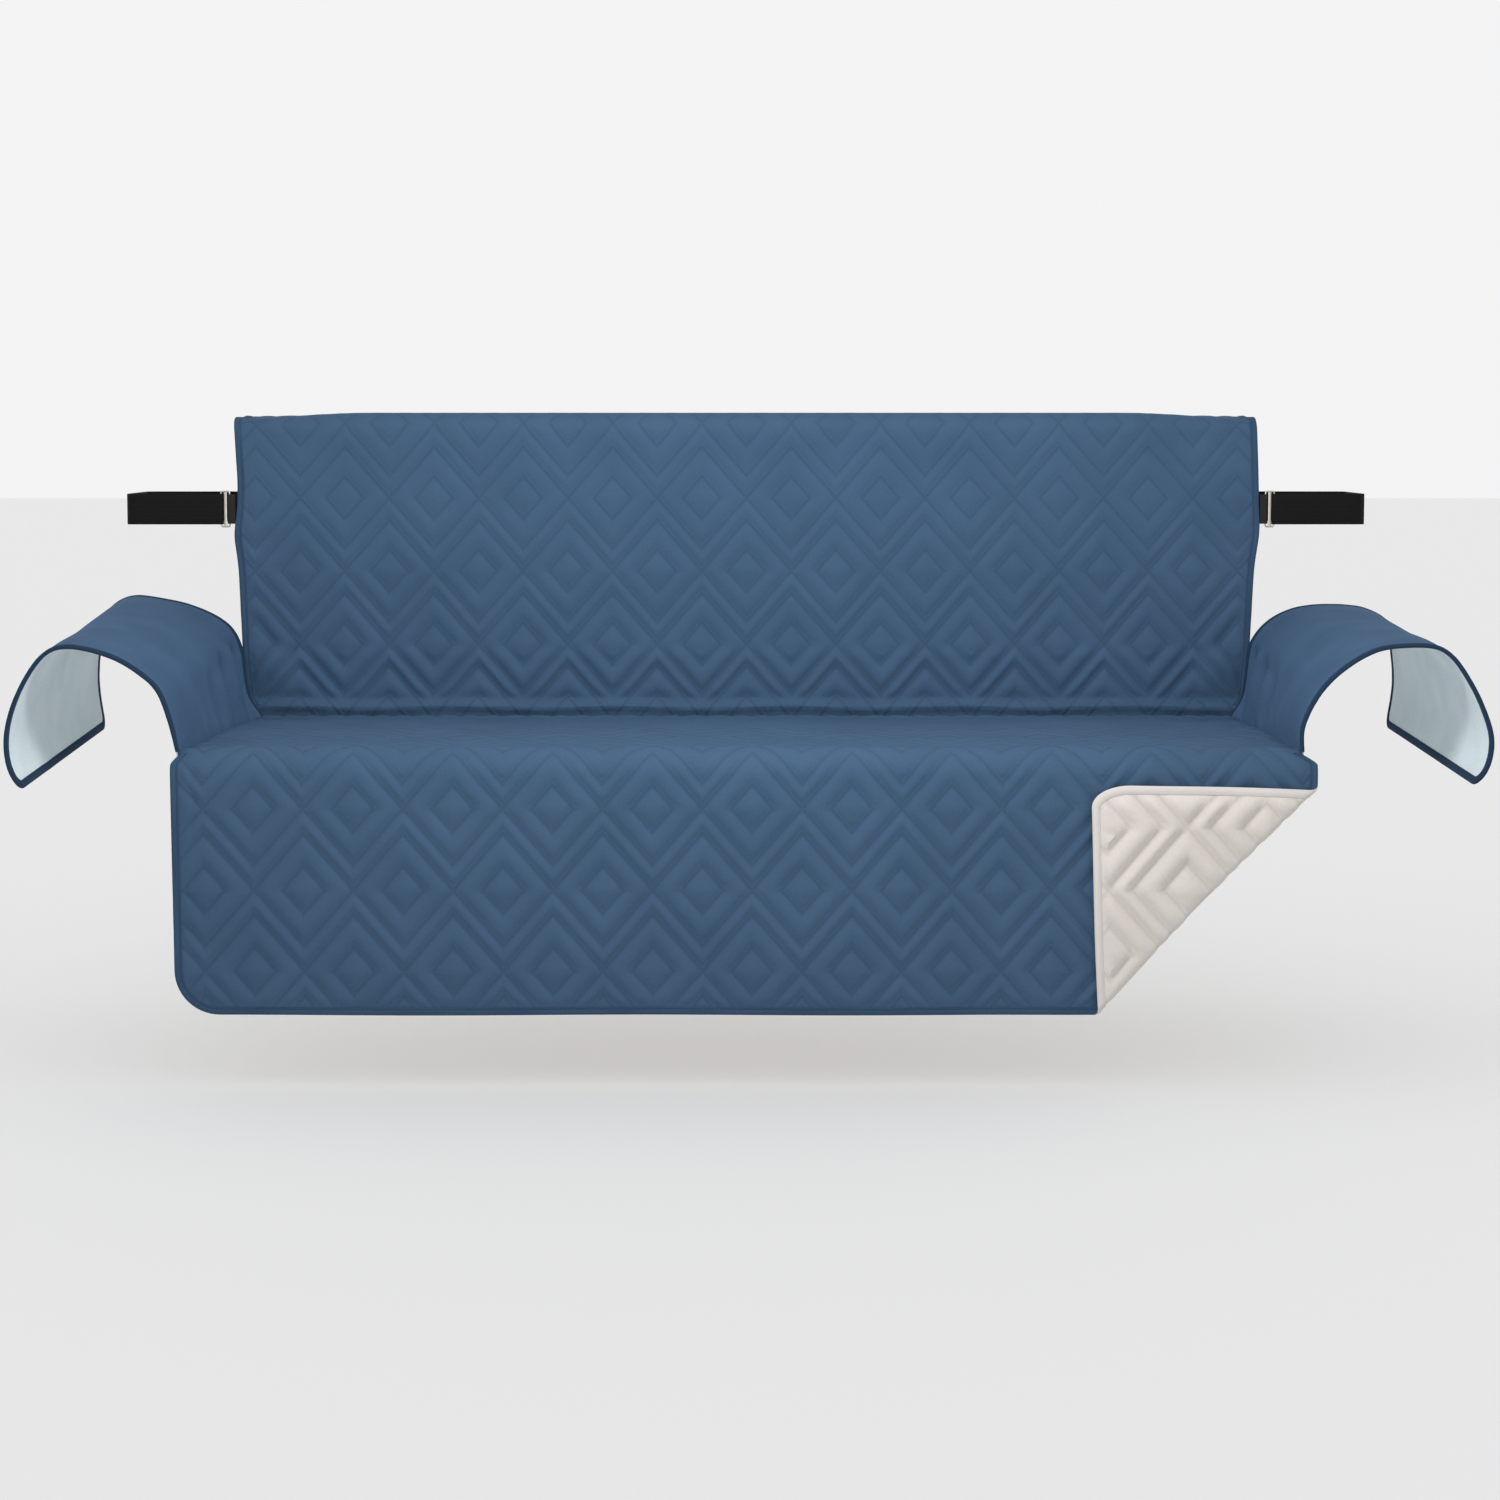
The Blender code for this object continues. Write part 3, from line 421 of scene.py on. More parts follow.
def spaced(low, high, fine_zones, coarse=0.008, fine=0.0025):
    """Places from low to high, close together in the zones where the cloth bends."""
    places = [low]
    while places[-1] < high:
        here = places[-1]
        near = any(a - 0.004 < here < b + 0.002 for a, b in fine_zones)
        places.append(here + (fine if near else coarse))
    places[-1] = high
    if len(places) > 2 and high - places[-2] < 0.002:
        del places[-2]
    return places


SIDE_ZONES = [(low, high) for low, high, _ in BENDS]
FOLD_ZONE = (-0.004, 0.050)
HEM_ZONES = [tuple(HEM_END.x + shift for shift in FOLD_ZONE)]
FOLD_SIDE_ZONES = SIDE_ZONES + [tuple(SIDE_END.y + shift for shift in FOLD_ZONE)]


def corner_turn(centre_u, centre_s, start, turn, wide=CORNER_RADIUS, tall=CORNER_RADIUS):
    """Edge points round a corner of the cut, each with its inward direction."""
    found = []
    for i in range(15):
        angle = start + turn * i / 14
        c, n = math.cos(angle), math.sin(angle)
        inward = Vector((-c / wide, -n / tall)).normalized()
        found.append((centre_u + wide * c, centre_s + tall * n, *inward))
    return found


def edge_front():
    """The bound edge of the apron as (u, s, inward u, inward s), from left to right."""
    wide, tall = TURNED_CORNER
    low, turned_low = FRONT_HEM - CORNER_RADIUS, FRONT_HEM - tall
    left_half, right_half = half_width(low, -1), half_width(turned_low, 1)
    left = [(-half_width(s, -1), s, 1, 0) for s in spaced(FRONT_EDGE_START, low, SIDE_ZONES)]
    hem_from, hem_to = CORNER_RADIUS - left_half, right_half - wide
    hem = [(u, FRONT_HEM, 0, -1) for u in spaced(hem_from, hem_to, HEM_ZONES)]
    up = spaced(FRONT_EDGE_START, turned_low, FOLD_SIDE_ZONES)
    right = [(half_width(s, 1), s, -1, 0) for s in reversed(up)]
    first = corner_turn(hem_from, low, math.pi, -math.pi / 2)
    second = corner_turn(hem_to, turned_low, math.pi / 2, -math.pi / 2, wide, tall)
    return left[:-1] + first + hem[1:-1] + second + right[1:]


def edge_back():
    """The bound edge behind and down the back, from the right side round to the left."""
    high = REAR_HEM + CORNER_RADIUS
    places = spaced(high, BACK_EDGE_START, SIDE_ZONES)
    right_half, left_half = half_width(high, 1), half_width(high, -1)
    right = [(half_width(s, 1), s, -1, 0) for s in reversed(places)]
    hem_from, hem_to = right_half - CORNER_RADIUS, CORNER_RADIUS - left_half
    hem = [(u, REAR_HEM, 0, 1) for u in reversed(spaced(hem_to, hem_from, []))]
    left = [(-half_width(s, -1), s, 1, 0) for s in places]
    first = corner_turn(hem_from, high, 0.0, -math.pi / 2)
    second = corner_turn(hem_to, high, -math.pi / 2, -math.pi / 2)
    return right[:-1] + first + hem[1:-1] + second + left[1:]


def inset_by(edge, inset):
    return [(u + inset * du, s + inset * ds) for u, s, du, ds in edge]


seam_places = spaced(BACK_EDGE_START + 0.0003, FRONT_EDGE_START - 0.0003, SIDE_ZONES)
left_seam = [(-half_width(s, -1), s) for s in seam_places]
right_seam = [(half_width(s, 1), s) for s in reversed(seam_places)]
panel_outline = inset_by(edge_back(), EDGE_INSET) + left_seam
panel_outline += inset_by(edge_front(), EDGE_INSET) + right_seam

LINE_STEP = 0.012
SHOULDERS = (0.0032, 0.0085)


def pattern_lines(place):
    """Stitch lines, the shoulders beside them and the ridges between them, on the flat cloth."""
    u_scale, u_shift, s_scale, s_shift = place

    def laid(start, end):
        return tuple(((p - u_shift) / u_scale, (q - s_shift) / s_scale) for p, q in (start, end))

    shift = [way * reach / ACROSS_LINES for reach in SHOULDERS for way in (-1, 1)]
    sizes = [INNER + d for d in shift] + [INNER, 1.0, (1 + INNER) / 2]
    sizes += [1 + d for d in shift if d < 0]
    band = ROW_PITCH - TALL
    drop = [band * t for t in (0.14, 0.35, 0.5, 0.65, 0.86)]
    rows = range(math.floor((REAR_HEM - FIRST_ROW) / ROW_PITCH), math.ceil((FRONT_HEM - FIRST_ROW) / ROW_PITCH) + 1)
    for row in rows:
        s = FIRST_ROW + row * ROW_PITCH
        for column in range(-7, 8):
            u = FIRST_COLUMN + HALF * (row % 2) + column * DIAMOND_PITCH
            for size in sizes:
                ring = [(u + HALF * size, s), (u, s + TALL * size), (u - HALF * size, s), (u, s - TALL * size)]
                yield from (laid(*ends) for ends in zip(ring, ring[1:] + ring[:1]))
            for fall in drop:
                low = (u, s + TALL + fall)
                yield laid(low, (u + HALF, s + fall))
                yield laid(low, (u - HALF, s + fall))


def inside_part(start, end, allowed):
    """The pieces of a line that are allowed, in short steps and cut off at the border."""
    length = math.hypot(end[0] - start[0], end[1] - start[1])
    count = max(1, math.ceil(length / LINE_STEP))
    at = [
        (start[0] + (end[0] - start[0]) * i / count, start[1] + (end[1] - start[1]) * i / count)
        for i in range(count + 1)
    ]
    within = [allowed(*p) for p in at]
    for i in range(count):
        near, far = at[i], at[i + 1]
        if within[i] and within[i + 1]:
            yield near, far
        elif within[i] or within[i + 1]:
            good, bad = (near, far) if within[i] else (far, near)
            fixed = good
            for _ in range(5):
                middle = ((good[0] + bad[0]) / 2, (good[1] + bad[1]) / 2)
                if allowed(*middle):
                    good = middle
                else:
                    bad = middle
            if math.hypot(good[0] - fixed[0], good[1] - fixed[1]) > 0.0005:
                yield fixed, good


def triangulated(outline, lines, extra):
    """Points and triangles over flat cloth that keep its outline and lines, and the rim's points."""
    places = [Vector(p) for p in outline]
    edges = [(i, (i + 1) % len(outline)) for i in range(len(outline))]
    index = {}
    for line in lines:
        ends = []
        for point in line:
            key = (round(point[0], 5), round(point[1], 5))
            if key not in index:
                index[key] = len(places)
                places.append(Vector(point))
            ends.append(index[key])
        if ends[0] != ends[1]:
            edges.append(tuple(ends))
    places += [Vector(p) for p in extra]
    spots, _, faces, sources = delaunay_2d_cdt(places, edges, [], 1, 1e-6)[:4]
    rim = {}
    for i, source in enumerate(sources):
        for original in source:
            if original < len(outline):
                rim[original] = i
    return [tuple(p) for p in spots], [tuple(f) for f in faces], [rim[i] for i in range(len(outline))]


def add_piece(name, points, faces, flat):
    """A smooth-shaded mesh whose points keep their place on the flat cloth, for the material."""
    mesh = bpy.data.meshes.new(name)
    mesh.from_pydata(points, [], faces)
    mesh.attributes.new("flat", "FLOAT_VECTOR", "POINT").data.foreach_set("vector", np.ravel(flat))
    mesh.shade_smooth()
    mesh.set_sharp_from_angle(angle=math.radians(60))
    piece = bpy.data.objects.new(name, mesh)
    bpy.context.scene.collection.objects.link(piece)
    return piece


def across_lines(places, margin):
    """Lines across the cloth at each s of places."""
    for s in places:
        start = (margin - half_width(s, -1), s)
        end = (half_width(s, 1) - margin, s)
        yield start, end


def free(u, s):
    return room(u, s) > 0.0035


def near_flap(u, s):
    return free(u, s) and past_fold(u, s) > -0.02


bend_places = []
for low, high, radius in BENDS:
    count = math.ceil((high - low) / (0.005 if radius > 0.02 else 0.0025))
    bend_places += [low + (high - low) * i / count for i in range(count + 1)]
fold_lines = []
for i in range(9):
    at = HEM_END + TO_CORNER * FOLD_LENGTH * i / 8
    fold_lines.append((tuple(at - FOLD_LINE * 0.1), tuple(at + FOLD_LINE * 0.62)))
rows_across = list(across_lines(bend_places, 0.0))
CREASE_PLACES = (-0.062, -0.054, -0.046, -0.038, -0.031, -0.025)
outer_lines, inner_lines = [], []
for zone in (ON_BACK, ON_SEAT, ON_FLAP):

    def in_zone(u, s):
        return zone_of(u, s) == zone and free(u, s)

    def in_zone_near_flap(u, s):
        return zone_of(u, s) == zone and near_flap(u, s)

    for line in pattern_lines(QUILT_PLACES[zone]):
        outer_lines += inside_part(*line, in_zone)
        if zone != ON_BACK:
            inner_lines += inside_part(*line, in_zone_near_flap)
for line in rows_across:
    outer_lines += inside_part(*line, free)
    inner_lines += inside_part(*line, free)
for line in across_lines(CREASE_PLACES, 0.0):
    outer_lines += inside_part(*line, free)
for line in fold_lines:
    outer_lines += inside_part(*line, free)
    inner_lines += inside_part(*line, near_flap)
GRID = 0.03
inner_spots = [
    (u * GRID, s * GRID)
    for u in range(-28, 29)
    for s in range(math.floor(REAR_HEM / GRID), math.ceil(FRONT_HEM / GRID))
    if free(u * GRID, s * GRID) and past_fold(u * GRID, s * GRID) < -0.03
]


def panel_layer(lines, spots, side):
    flat, faces, rim = triangulated(panel_outline, lines, spots)
    points, places = [], []
    for u, s in flat:
        zone = zone_of(u, s)
        u_scale, u_shift, s_scale, s_shift = QUILT_PLACES[zone]
        p, q = u * u_scale + u_shift, s * s_scale + s_shift
        shown = 0.0 if zone == BETWEEN else step(0.0, 0.012, room(u, s))
        if side < 0:
            turned = past_fold(u, s) if s > APRON_START else -1.0
            shown *= 0.3 * step(-0.01, 0.0, turned) + 1.4 * step(0.010, 0.030, turned)
        rise = QUILT_RISE * puff(p, q) * strength(s) * shown
        points.append(hang(u, s, side * (CLOTH / 2 + rise)))
        places.append((p, q, side / 2 if zone == BETWEEN else side))
    return points, faces, rim, places


def two_sided(name, outer, inner):
    """One closed piece from a cloth's outer and inner layer, joined round their rims."""
    points, faces, rim, flat = outer
    more_points, more_faces, more_rim, more_flat = inner
    base = len(points)
    all_faces = list(faces)
    all_faces += [tuple(reversed([base + i for i in face])) for face in more_faces]
    for i in range(len(rim)):
        j = (i + 1) % len(rim)
        all_faces.append((rim[j], rim[i], base + more_rim[i], base + more_rim[j]))
    return add_piece(name, points + more_points, all_faces, flat + more_flat)


panel = two_sided("quilted_panel", panel_layer(outer_lines, [], 1), panel_layer(inner_lines, inner_spots, -1))


class Value:
    """A socket of a material. Python's operators on it add Math nodes."""

    def __init__(self, paint, socket):
        self.paint = paint
        self.socket = socket

    def maths(self, operation, *values):
        return self.paint.node("ShaderNodeMath", {"operation": operation}, dict(enumerate(values)))

    def __add__(self, other):
        return self.maths("ADD", self, other)

    def __radd__(self, other):
        return self.maths("ADD", other, self)

    def __sub__(self, other):
        return self.maths("SUBTRACT", self, other)

    def __rsub__(self, other):
        return self.maths("SUBTRACT", other, self)

    def __mul__(self, other):
        return self.maths("MULTIPLY", self, other)

    def __rmul__(self, other):
        return self.maths("MULTIPLY", other, self)

    def __truediv__(self, other):
        return self.maths("DIVIDE", self, other)

    def __mod__(self, other):
        return self.maths("FLOORED_MODULO", self, other)

    def __abs__(self):
        return self.maths("ABSOLUTE", self)

    def floor(self):
        return self.maths("FLOOR", self)

    def sine(self):
        return self.maths("SINE", self)

    def least(self, other):
        return self.maths("MINIMUM", self, other)

    def ramp(self, low, high):
        """0 below low and 1 above high, with a smooth rise between."""
        values = {"Value": self, "From Min": low, "From Max": high}
        return self.paint.node("ShaderNodeMapRange", {"interpolation_type": "SMOOTHSTEP"}, values)


class Paint:
    """A material of one Principled shader, and the nodes in front of it."""

    def __init__(self, name, fixed):
        self.material = bpy.data.materials.new(name)
        self.material.use_nodes = True
        self.tree = self.material.node_tree
        self.shader = self.tree.nodes["Principled BSDF"]
        for socket, value in fixed.items():
            self.shader.inputs[socket].default_value = value

    def node(self, kind, settings, values, output=0):
        made = self.tree.nodes.new(kind)
        for key, value in settings.items():
            setattr(made, key, value)
        for key, value in values.items():
            if isinstance(value, Value):
                self.tree.links.new(value.socket, made.inputs[key])
            else:
                made.inputs[key].default_value = value
        return Value(self, made.outputs[output])

    def flat(self):
        """The cloth's own coordinates in metres: across, along, and 1 outside or -1 inside."""
        place = self.node("ShaderNodeAttribute", {"attribute_name": "flat"}, {}, 1)
        apart = [self.node("ShaderNodeSeparateXYZ", {}, {0: place}, i) for i in range(3)]
        return place, *apart

    def noise(self, place, scale, detail=2.0):
        values = {"Vector": place, "Scale": scale, "Detail": detail}
        return self.node("ShaderNodeTexNoise", {}, values)

    def mixed(self, factor, first, second):
        first = first if isinstance(first, Value) else (*first, 1)
        second = second if isinstance(second, Value) else (*second, 1)
        values = {0: factor, 6: first, 7: second}
        return self.node("ShaderNodeMix", {"data_type": "RGBA"}, values, 2)

    def finish(self, colour, height, roughness=None):
        self.tree.links.new(colour.socket, self.shader.inputs["Base Color"])
        bump = self.node("ShaderNodeBump", {}, {"Strength": 1.0, "Distance": 1.0, "Height": height})
        self.tree.links.new(bump.socket, self.shader.inputs["Normal"])
        if roughness:
            self.tree.links.new(roughness.socket, self.shader.inputs["Roughness"])
        return self.material


def nap(paint, place):
    """The brushed face of microfibre: short fibres that lie in soft patches, as height and tone."""
    fibre = paint.noise(place, 2600.0, 1.0)
    patch = paint.noise(place, 240.0, 2.0)
    drift = paint.noise(place, 9.0, 2.0)
    tone = 0.5 * drift + 0.3 * patch + 0.2 * fibre
    return 0.00016 * fibre + 0.00030 * patch, tone


MICROFIBRE = {"Roughness": 0.9, "Specular IOR Level": 0.1}
MICROFIBRE |= {"Sheen Weight": 0.08, "Sheen Roughness": 0.45, "Sheen Tint": (0.35, 0.55, 0.85, 1)}
BLUE_DEEP, BLUE_LIGHT = (0.036, 0.075, 0.132), (0.055, 0.106, 0.183)
CREAM_DEEP, CREAM_LIGHT = (0.545, 0.508, 0.477), (0.70, 0.652, 0.61)
THREAD_PITCH = 0.0034 * TALL / math.hypot(HALF, TALL)

paint = Paint("quilted_microfibre", MICROFIBRE)
place, across, along, facing = paint.flat()
row = ((along - FIRST_ROW) / ROW_PITCH).floor()


def depth_of(row):
    centre = FIRST_COLUMN + HALF * (row % 2)
    beside = (across - centre + HALF) % DIAMOND_PITCH - HALF
    return abs(beside) / HALF + abs(along - FIRST_ROW - row * ROW_PITCH) / TALL


above, below = depth_of(row), depth_of(row + 1)
outlines = abs(above - 1).least(abs(below - 1))
away = abs(above.least(below) - INNER).least(outlines) * ACROSS_LINES
quilted = abs(facing).ramp(0.93, 0.97)
groove = 1 - (1 - away.ramp(0.0, 0.0050)) * quilted
dash = (along % THREAD_PITCH / THREAD_PITCH).ramp(0.22, 0.34)
in_stitch = (1 - away.ramp(0.0003, 0.0007)) * dash * quilted
rough, tone = nap(paint, place)
outside = facing.ramp(-0.1, 0.1)
light = paint.mixed(outside, CREAM_LIGHT, BLUE_LIGHT)
deep = paint.mixed(outside, CREAM_DEEP, BLUE_DEEP)
# Darker within 5 mm of each stitch line: painted shade in the quilting's grooves. The rest of the tone varies at
# random with the nap.
shade = (tone.ramp(0.30, 0.72) * 0.45 + 0.55) * (0.68 + 0.32 * groove)
height = rough + 0.0009 * groove + 0.0003 * in_stitch
cloth_material = paint.finish(paint.mixed(shade, deep, light), height)
panel.data.materials.append(cloth_material)
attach(panel, "root")
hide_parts("main_panel")


# ------------------------------------------------------------ bindings of the main panel
# A folded microfibre tape goes round the cloth's edge and is sewn through with one row of
# stitches. Its reverse is pale, as it shows on the turned-up corner. It puckers a little.

TAPE_SECTION = (
    (0.0000, 0.00000),
    (0.0004, 0.00150),
    (0.0014, 0.00265),
    (0.0032, 0.00320),
    (0.0060, 0.00325),
    (0.0082, 0.00310),
    (0.0094, 0.00265),
    (0.0106, 0.00310),
    (0.0116, 0.00290),
    (0.0120, 0.00180),
)
TAPE_HALF = 0.00325
TAPE_STITCHES = 0.0094
TAPE_STITCH_PITCH = 0.0036


def bound_tape(name, edge, place_at):
    """A tape round an edge: its section is worked out in the flat and hung as the cloth is."""
    section = list(TAPE_SECTION)
    section += [(inset, -off) for inset, off in reversed(TAPE_SECTION[1:])]
    points, faces, flat = [], [], []
    length = 0.0
    for k, (u, s, du, ds) in enumerate(edge):
        if k:
            length += math.hypot(u - edge[k - 1][0], s - edge[k - 1][1])
        pucker = 1 + 0.07 * noise.noise((length * 60, 0, 3)) + 0.04 * noise.noise((length * 190, 5, 0))
        for inset, off in section:
            points.append(place_at(u + inset * du, s + inset * ds, off * pucker))
            flat.append((length, inset, off / TAPE_HALF))
    size = len(section)
    for k in range(len(edge) - 1):
        for i in range(size):
            j = (i + 1) % size
            a, b = k * size, (k + 1) * size
            faces.append((a + i, a + j, b + j, b + i))
    faces.append(tuple(reversed(range(size))))
    faces.append(tuple(range(len(points) - size, len(points))))
    return add_piece(name, points, faces, flat)


def tape_material(name, light, deep, pale_light, pale_deep):
    """Plain-woven tape with a row of stitches near its inner edge."""
    paint = Paint(name, MICROFIBRE)
    place, length, inset, facing = paint.flat()
    rough, tone = nap(paint, place)
    row = abs(inset - TAPE_STITCHES)
    in_stitch = (1 - row.ramp(0.0003, 0.0007)) * (length % TAPE_STITCH_PITCH / TAPE_STITCH_PITCH).ramp(0.2, 0.32)
    side = facing.ramp(-0.3, 0.1)
    # Darker within 1.6 mm of the stitch row, mostly on the blue face: painted shade in the groove that the stitches
    # pull in.
    shade = tone.ramp(0.30, 0.72) * (1 - (1 - row.ramp(0.0, 0.0016)) * (0.05 + 0.55 * side))
    colour = paint.mixed(shade, paint.mixed(side, pale_deep, deep), paint.mixed(side, pale_light, light))
    return paint.finish(colour, rough + 0.0003 * in_stitch + 0.0005 * row.ramp(0.0, 0.0012))


TAPE_LIGHT, TAPE_DEEP = (0.048, 0.094, 0.165), (0.028, 0.060, 0.112)
PALE_LIGHT, PALE_DEEP = (0.73, 0.69, 0.655), (0.64, 0.605, 0.575)
panel_tape = tape_material("panel_tape", TAPE_LIGHT, TAPE_DEEP, PALE_LIGHT, PALE_DEEP)
back_tape = bound_tape("back_binding", edge_back(), hang)
apron_tape = bound_tape("apron_binding", edge_front(), hang)
for tape, node in ((back_tape, "binding_back"), (apron_tape, "binding_apron")):
    tape.data.materials.append(panel_tape)
    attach(tape, "root")
    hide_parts(node)


# ------------------------------------------------------------ arm panels
# Smooth microfibre on a pale lining face, sewn along the seat's side edges. Each goes up the
# inside of the arm, over its roll, and hangs free outside, where it stands off in a flare.

LEFT_ARM = (
    (0.842, -0.441, 0.813, -0.450),
    (0.858, -0.398, 0.820, -0.405),
    (0.882, -0.373, 0.826, -0.370),
    (0.918, -0.350, 0.845, -0.338),
    (0.961, -0.336, 0.885, -0.314),
    (0.998, -0.333, 0.938, -0.297),
    (1.024, -0.345, 1.000, -0.290),
    (1.048, -0.376, 1.040, -0.320),
    (1.069, -0.420, 1.050, -0.368),
    (1.080, -0.466, 1.053, -0.420),
    (1.077, -0.508, 1.048, -0.465),
    (1.060, -0.544, 1.040, -0.502),
)
RIGHT_ARM = (
    (0.814, -0.450, 0.813, -0.450),
    (0.837, -0.402, 0.819, -0.405),
    (0.872, -0.365, 0.826, -0.366),
    (0.918, -0.338, 0.852, -0.333),
    (0.965, -0.331, 0.892, -0.312),
    (1.005, -0.333, 0.945, -0.304),
    (1.030, -0.348, 1.003, -0.309),
    (1.052, -0.378, 1.044, -0.334),
    (1.074, -0.420, 1.050, -0.374),
    (1.089, -0.466, 1.053, -0.422),
    (1.085, -0.506, 1.048, -0.465),
    (1.066, -0.538, 1.040, -0.500),
)
ARM_FRONT_Y = -0.737
ARM_BEHIND = 0.016
ARM_CORNER = 0.025
TUCK_BACK, TUCK_IN = 0.014, 0.004
FOOT_BACK, FOOT_IN = 0.001, 0.003
ALLOWANCE_SLANT = 0.30
SEAM_Z = -0.488
SECTION_POINTS = 160


def curve_through(points, count):
    """Points evenly spaced along a smooth curve through the given ones."""
    fine = []
    for i in range(len(points) - 1):
        before, start, end = points[max(i - 1, 0)], points[i], points[i + 1]
        after = points[min(i + 2, len(points) - 1)]
        for k in range(16):
            t = k / 16
            a = -0.5 * t + t * t - 0.5 * t**3
            b = 1 - 2.5 * t * t + 1.5 * t**3
            c = 0.5 * t + 2 * t * t - 1.5 * t**3
            d = -0.5 * t * t + 0.5 * t**3
            fine.append(a * before + b * start + c * end + d * after)
    fine.append(points[-1])
    reach = [0.0]
    for near, far in zip(fine, fine[1:]):
        reach.append(reach[-1] + (far - near).length)
    wanted = np.linspace(0, reach[-1], count + 1)
    x = np.interp(wanted, reach, [p.x for p in fine])
    y = np.interp(wanted, reach, [p.y for p in fine])
    return [Vector(pair) for pair in zip(x, y)], reach[-1]


def rear_y(z):
    """Where an arm panel ends at the back: just in front of the slope that the main panel runs down."""
    (top_y, top_z), (foot_y, foot_z) = RUN[2][:2], RUN[3][:2]
    return top_y + (foot_y - top_y) / (foot_z - top_z) * (z - top_z) - ARM_BEHIND


class ArmCloth:
    """An arm panel's flat cloth, in metres round from its seat seam and along from its rear."""

    def __init__(self, side, stations, folds):
        self.side = side
        self.folds = folds
        widths = WIDTHS[9], WIDTHS[10]
        column = 1 if side < 0 else 2
        from_y, to_y = (run_at(w[0])[0].x for w in widths)
        slope = (widths[1][column] - widths[0][column]) / (to_y - from_y)
        rear_foot, front_foot = (
            Vector((widths[0][column] + (y - from_y) * slope, SEAM_Z)) for y in (rear_y(SEAM_Z), ARM_FRONT_Y)
        )
        rear = [rear_foot] + [Vector(s[2:]) for s in stations]
        front = [front_foot] + [Vector(s[:2]) for s in stations]
        self.rear, _ = curve_through(rear, SECTION_POINTS)
        self.front, self.round = curve_through(front, SECTION_POINTS)
        self.long = rear_y(SEAM_Z) - ARM_FRONT_Y

    def middle(self, t, w):
        i = min(SECTION_POINTS - 1, int(t * SECTION_POINTS))
        part = t * SECTION_POINTS - i
        front = self.front[i].lerp(self.front[i + 1], part)
        rear = self.rear[i].lerp(self.rear[i + 1], part)
        here = rear.lerp(front, w)
        tucked = (1 - step(0.10, 0.22, t * self.round)) * (1 - w) ** 4
        foot = (1 - step(0.0, 0.04, t * self.round)) * (1 - w) ** 8
        y = rear_y(here.y) + (ARM_FRONT_Y - rear_y(here.y)) * w + TUCK_BACK * tucked + FOOT_BACK * foot
        return Vector((here.x + CLOTH / 2 + 0.0003 - TUCK_IN * tucked - FOOT_IN * foot, y, here.y))

    def hang(self, r, along, off=0.0):
        """A point of the flat cloth where it hangs, off metres out from its middle."""
        below = min(0.0, r)
        t, w = min(1.0, max(0.0, r / self.round)), min(1.0, max(0.0, along / self.long))
        before, after = max(0.0, t - 0.004), min(1.0, t + 0.004)
        round_way = self.middle(after, w) - self.middle(before, w)
        before, after = max(0.0, w - 0.004), min(1.0, w + 0.004)
        outward = (self.middle(t, after) - self.middle(t, before)).cross(round_way).normalized()
        sag = fold_in(r, along, self.folds) + pucker(abs(r), along)
        sag += 0.003 * noise.noise((r * 8, along * 6, 4)) * step(0.0, 0.04, r) * (1 - step(0.28, 0.40, r))
        found = self.middle(t, w) + outward * (off + sag)
        return self.side * found.x, found.y + ALLOWANCE_SLANT * below * (1 - w) ** 8, found.z + below

    def edge(self):
        """The bound edge as (r, along, inward r, inward along): rear, outer hem, then front."""
        straight = self.round - ARM_CORNER
        near, far = ARM_CORNER, self.long - ARM_CORNER
        sides = [0.001 + (straight - 0.001) * i / 90 for i in range(91)]
        rear = [(r, 0.0, 0, 1) for r in sides]
        hem = [(self.round, near + (far - near) * i / 70, -1, 0) for i in range(71)]
        front = [(r, self.long, 0, -1) for r in reversed(sides)]
        turns = [math.pi / 2 * i / 8 for i in range(9)]
        first = [(math.sin(a), -math.cos(a)) for a in turns]
        second = [(math.cos(a), math.sin(a)) for a in turns]
        first = [(straight + ARM_CORNER * p, near + ARM_CORNER * q, -p, -q) for p, q in first]
        second = [(straight + ARM_CORNER * p, far + ARM_CORNER * q, -p, -q) for p, q in second]
        return rear[:-1] + first + hem[1:-1] + second + front[1:]


ARM_FOLDS = (
    (0.000, 0.040, 0.120, 0.045, 0.022, -0.015),
    (0.000, 0.085, 0.120, 0.100, 0.016, 0.009),
    (0.000, 0.125, 0.110, 0.150, 0.022, -0.013),
    (0.000, 0.170, 0.090, 0.200, 0.018, 0.006),
    (0.000, 0.210, 0.090, 0.250, 0.022, -0.006),
    (0.090, 0.020, 0.200, 0.050, 0.016, -0.005),
    (0.080, 0.200, 0.200, 0.330, 0.035, -0.004),
    (0.360, 0.330, 0.500, 0.420, 0.035, -0.004),
)
left_cloth = ArmCloth(-1, LEFT_ARM, ARM_FOLDS)
right_cloth = ArmCloth(1, RIGHT_ARM, ARM_FOLDS)


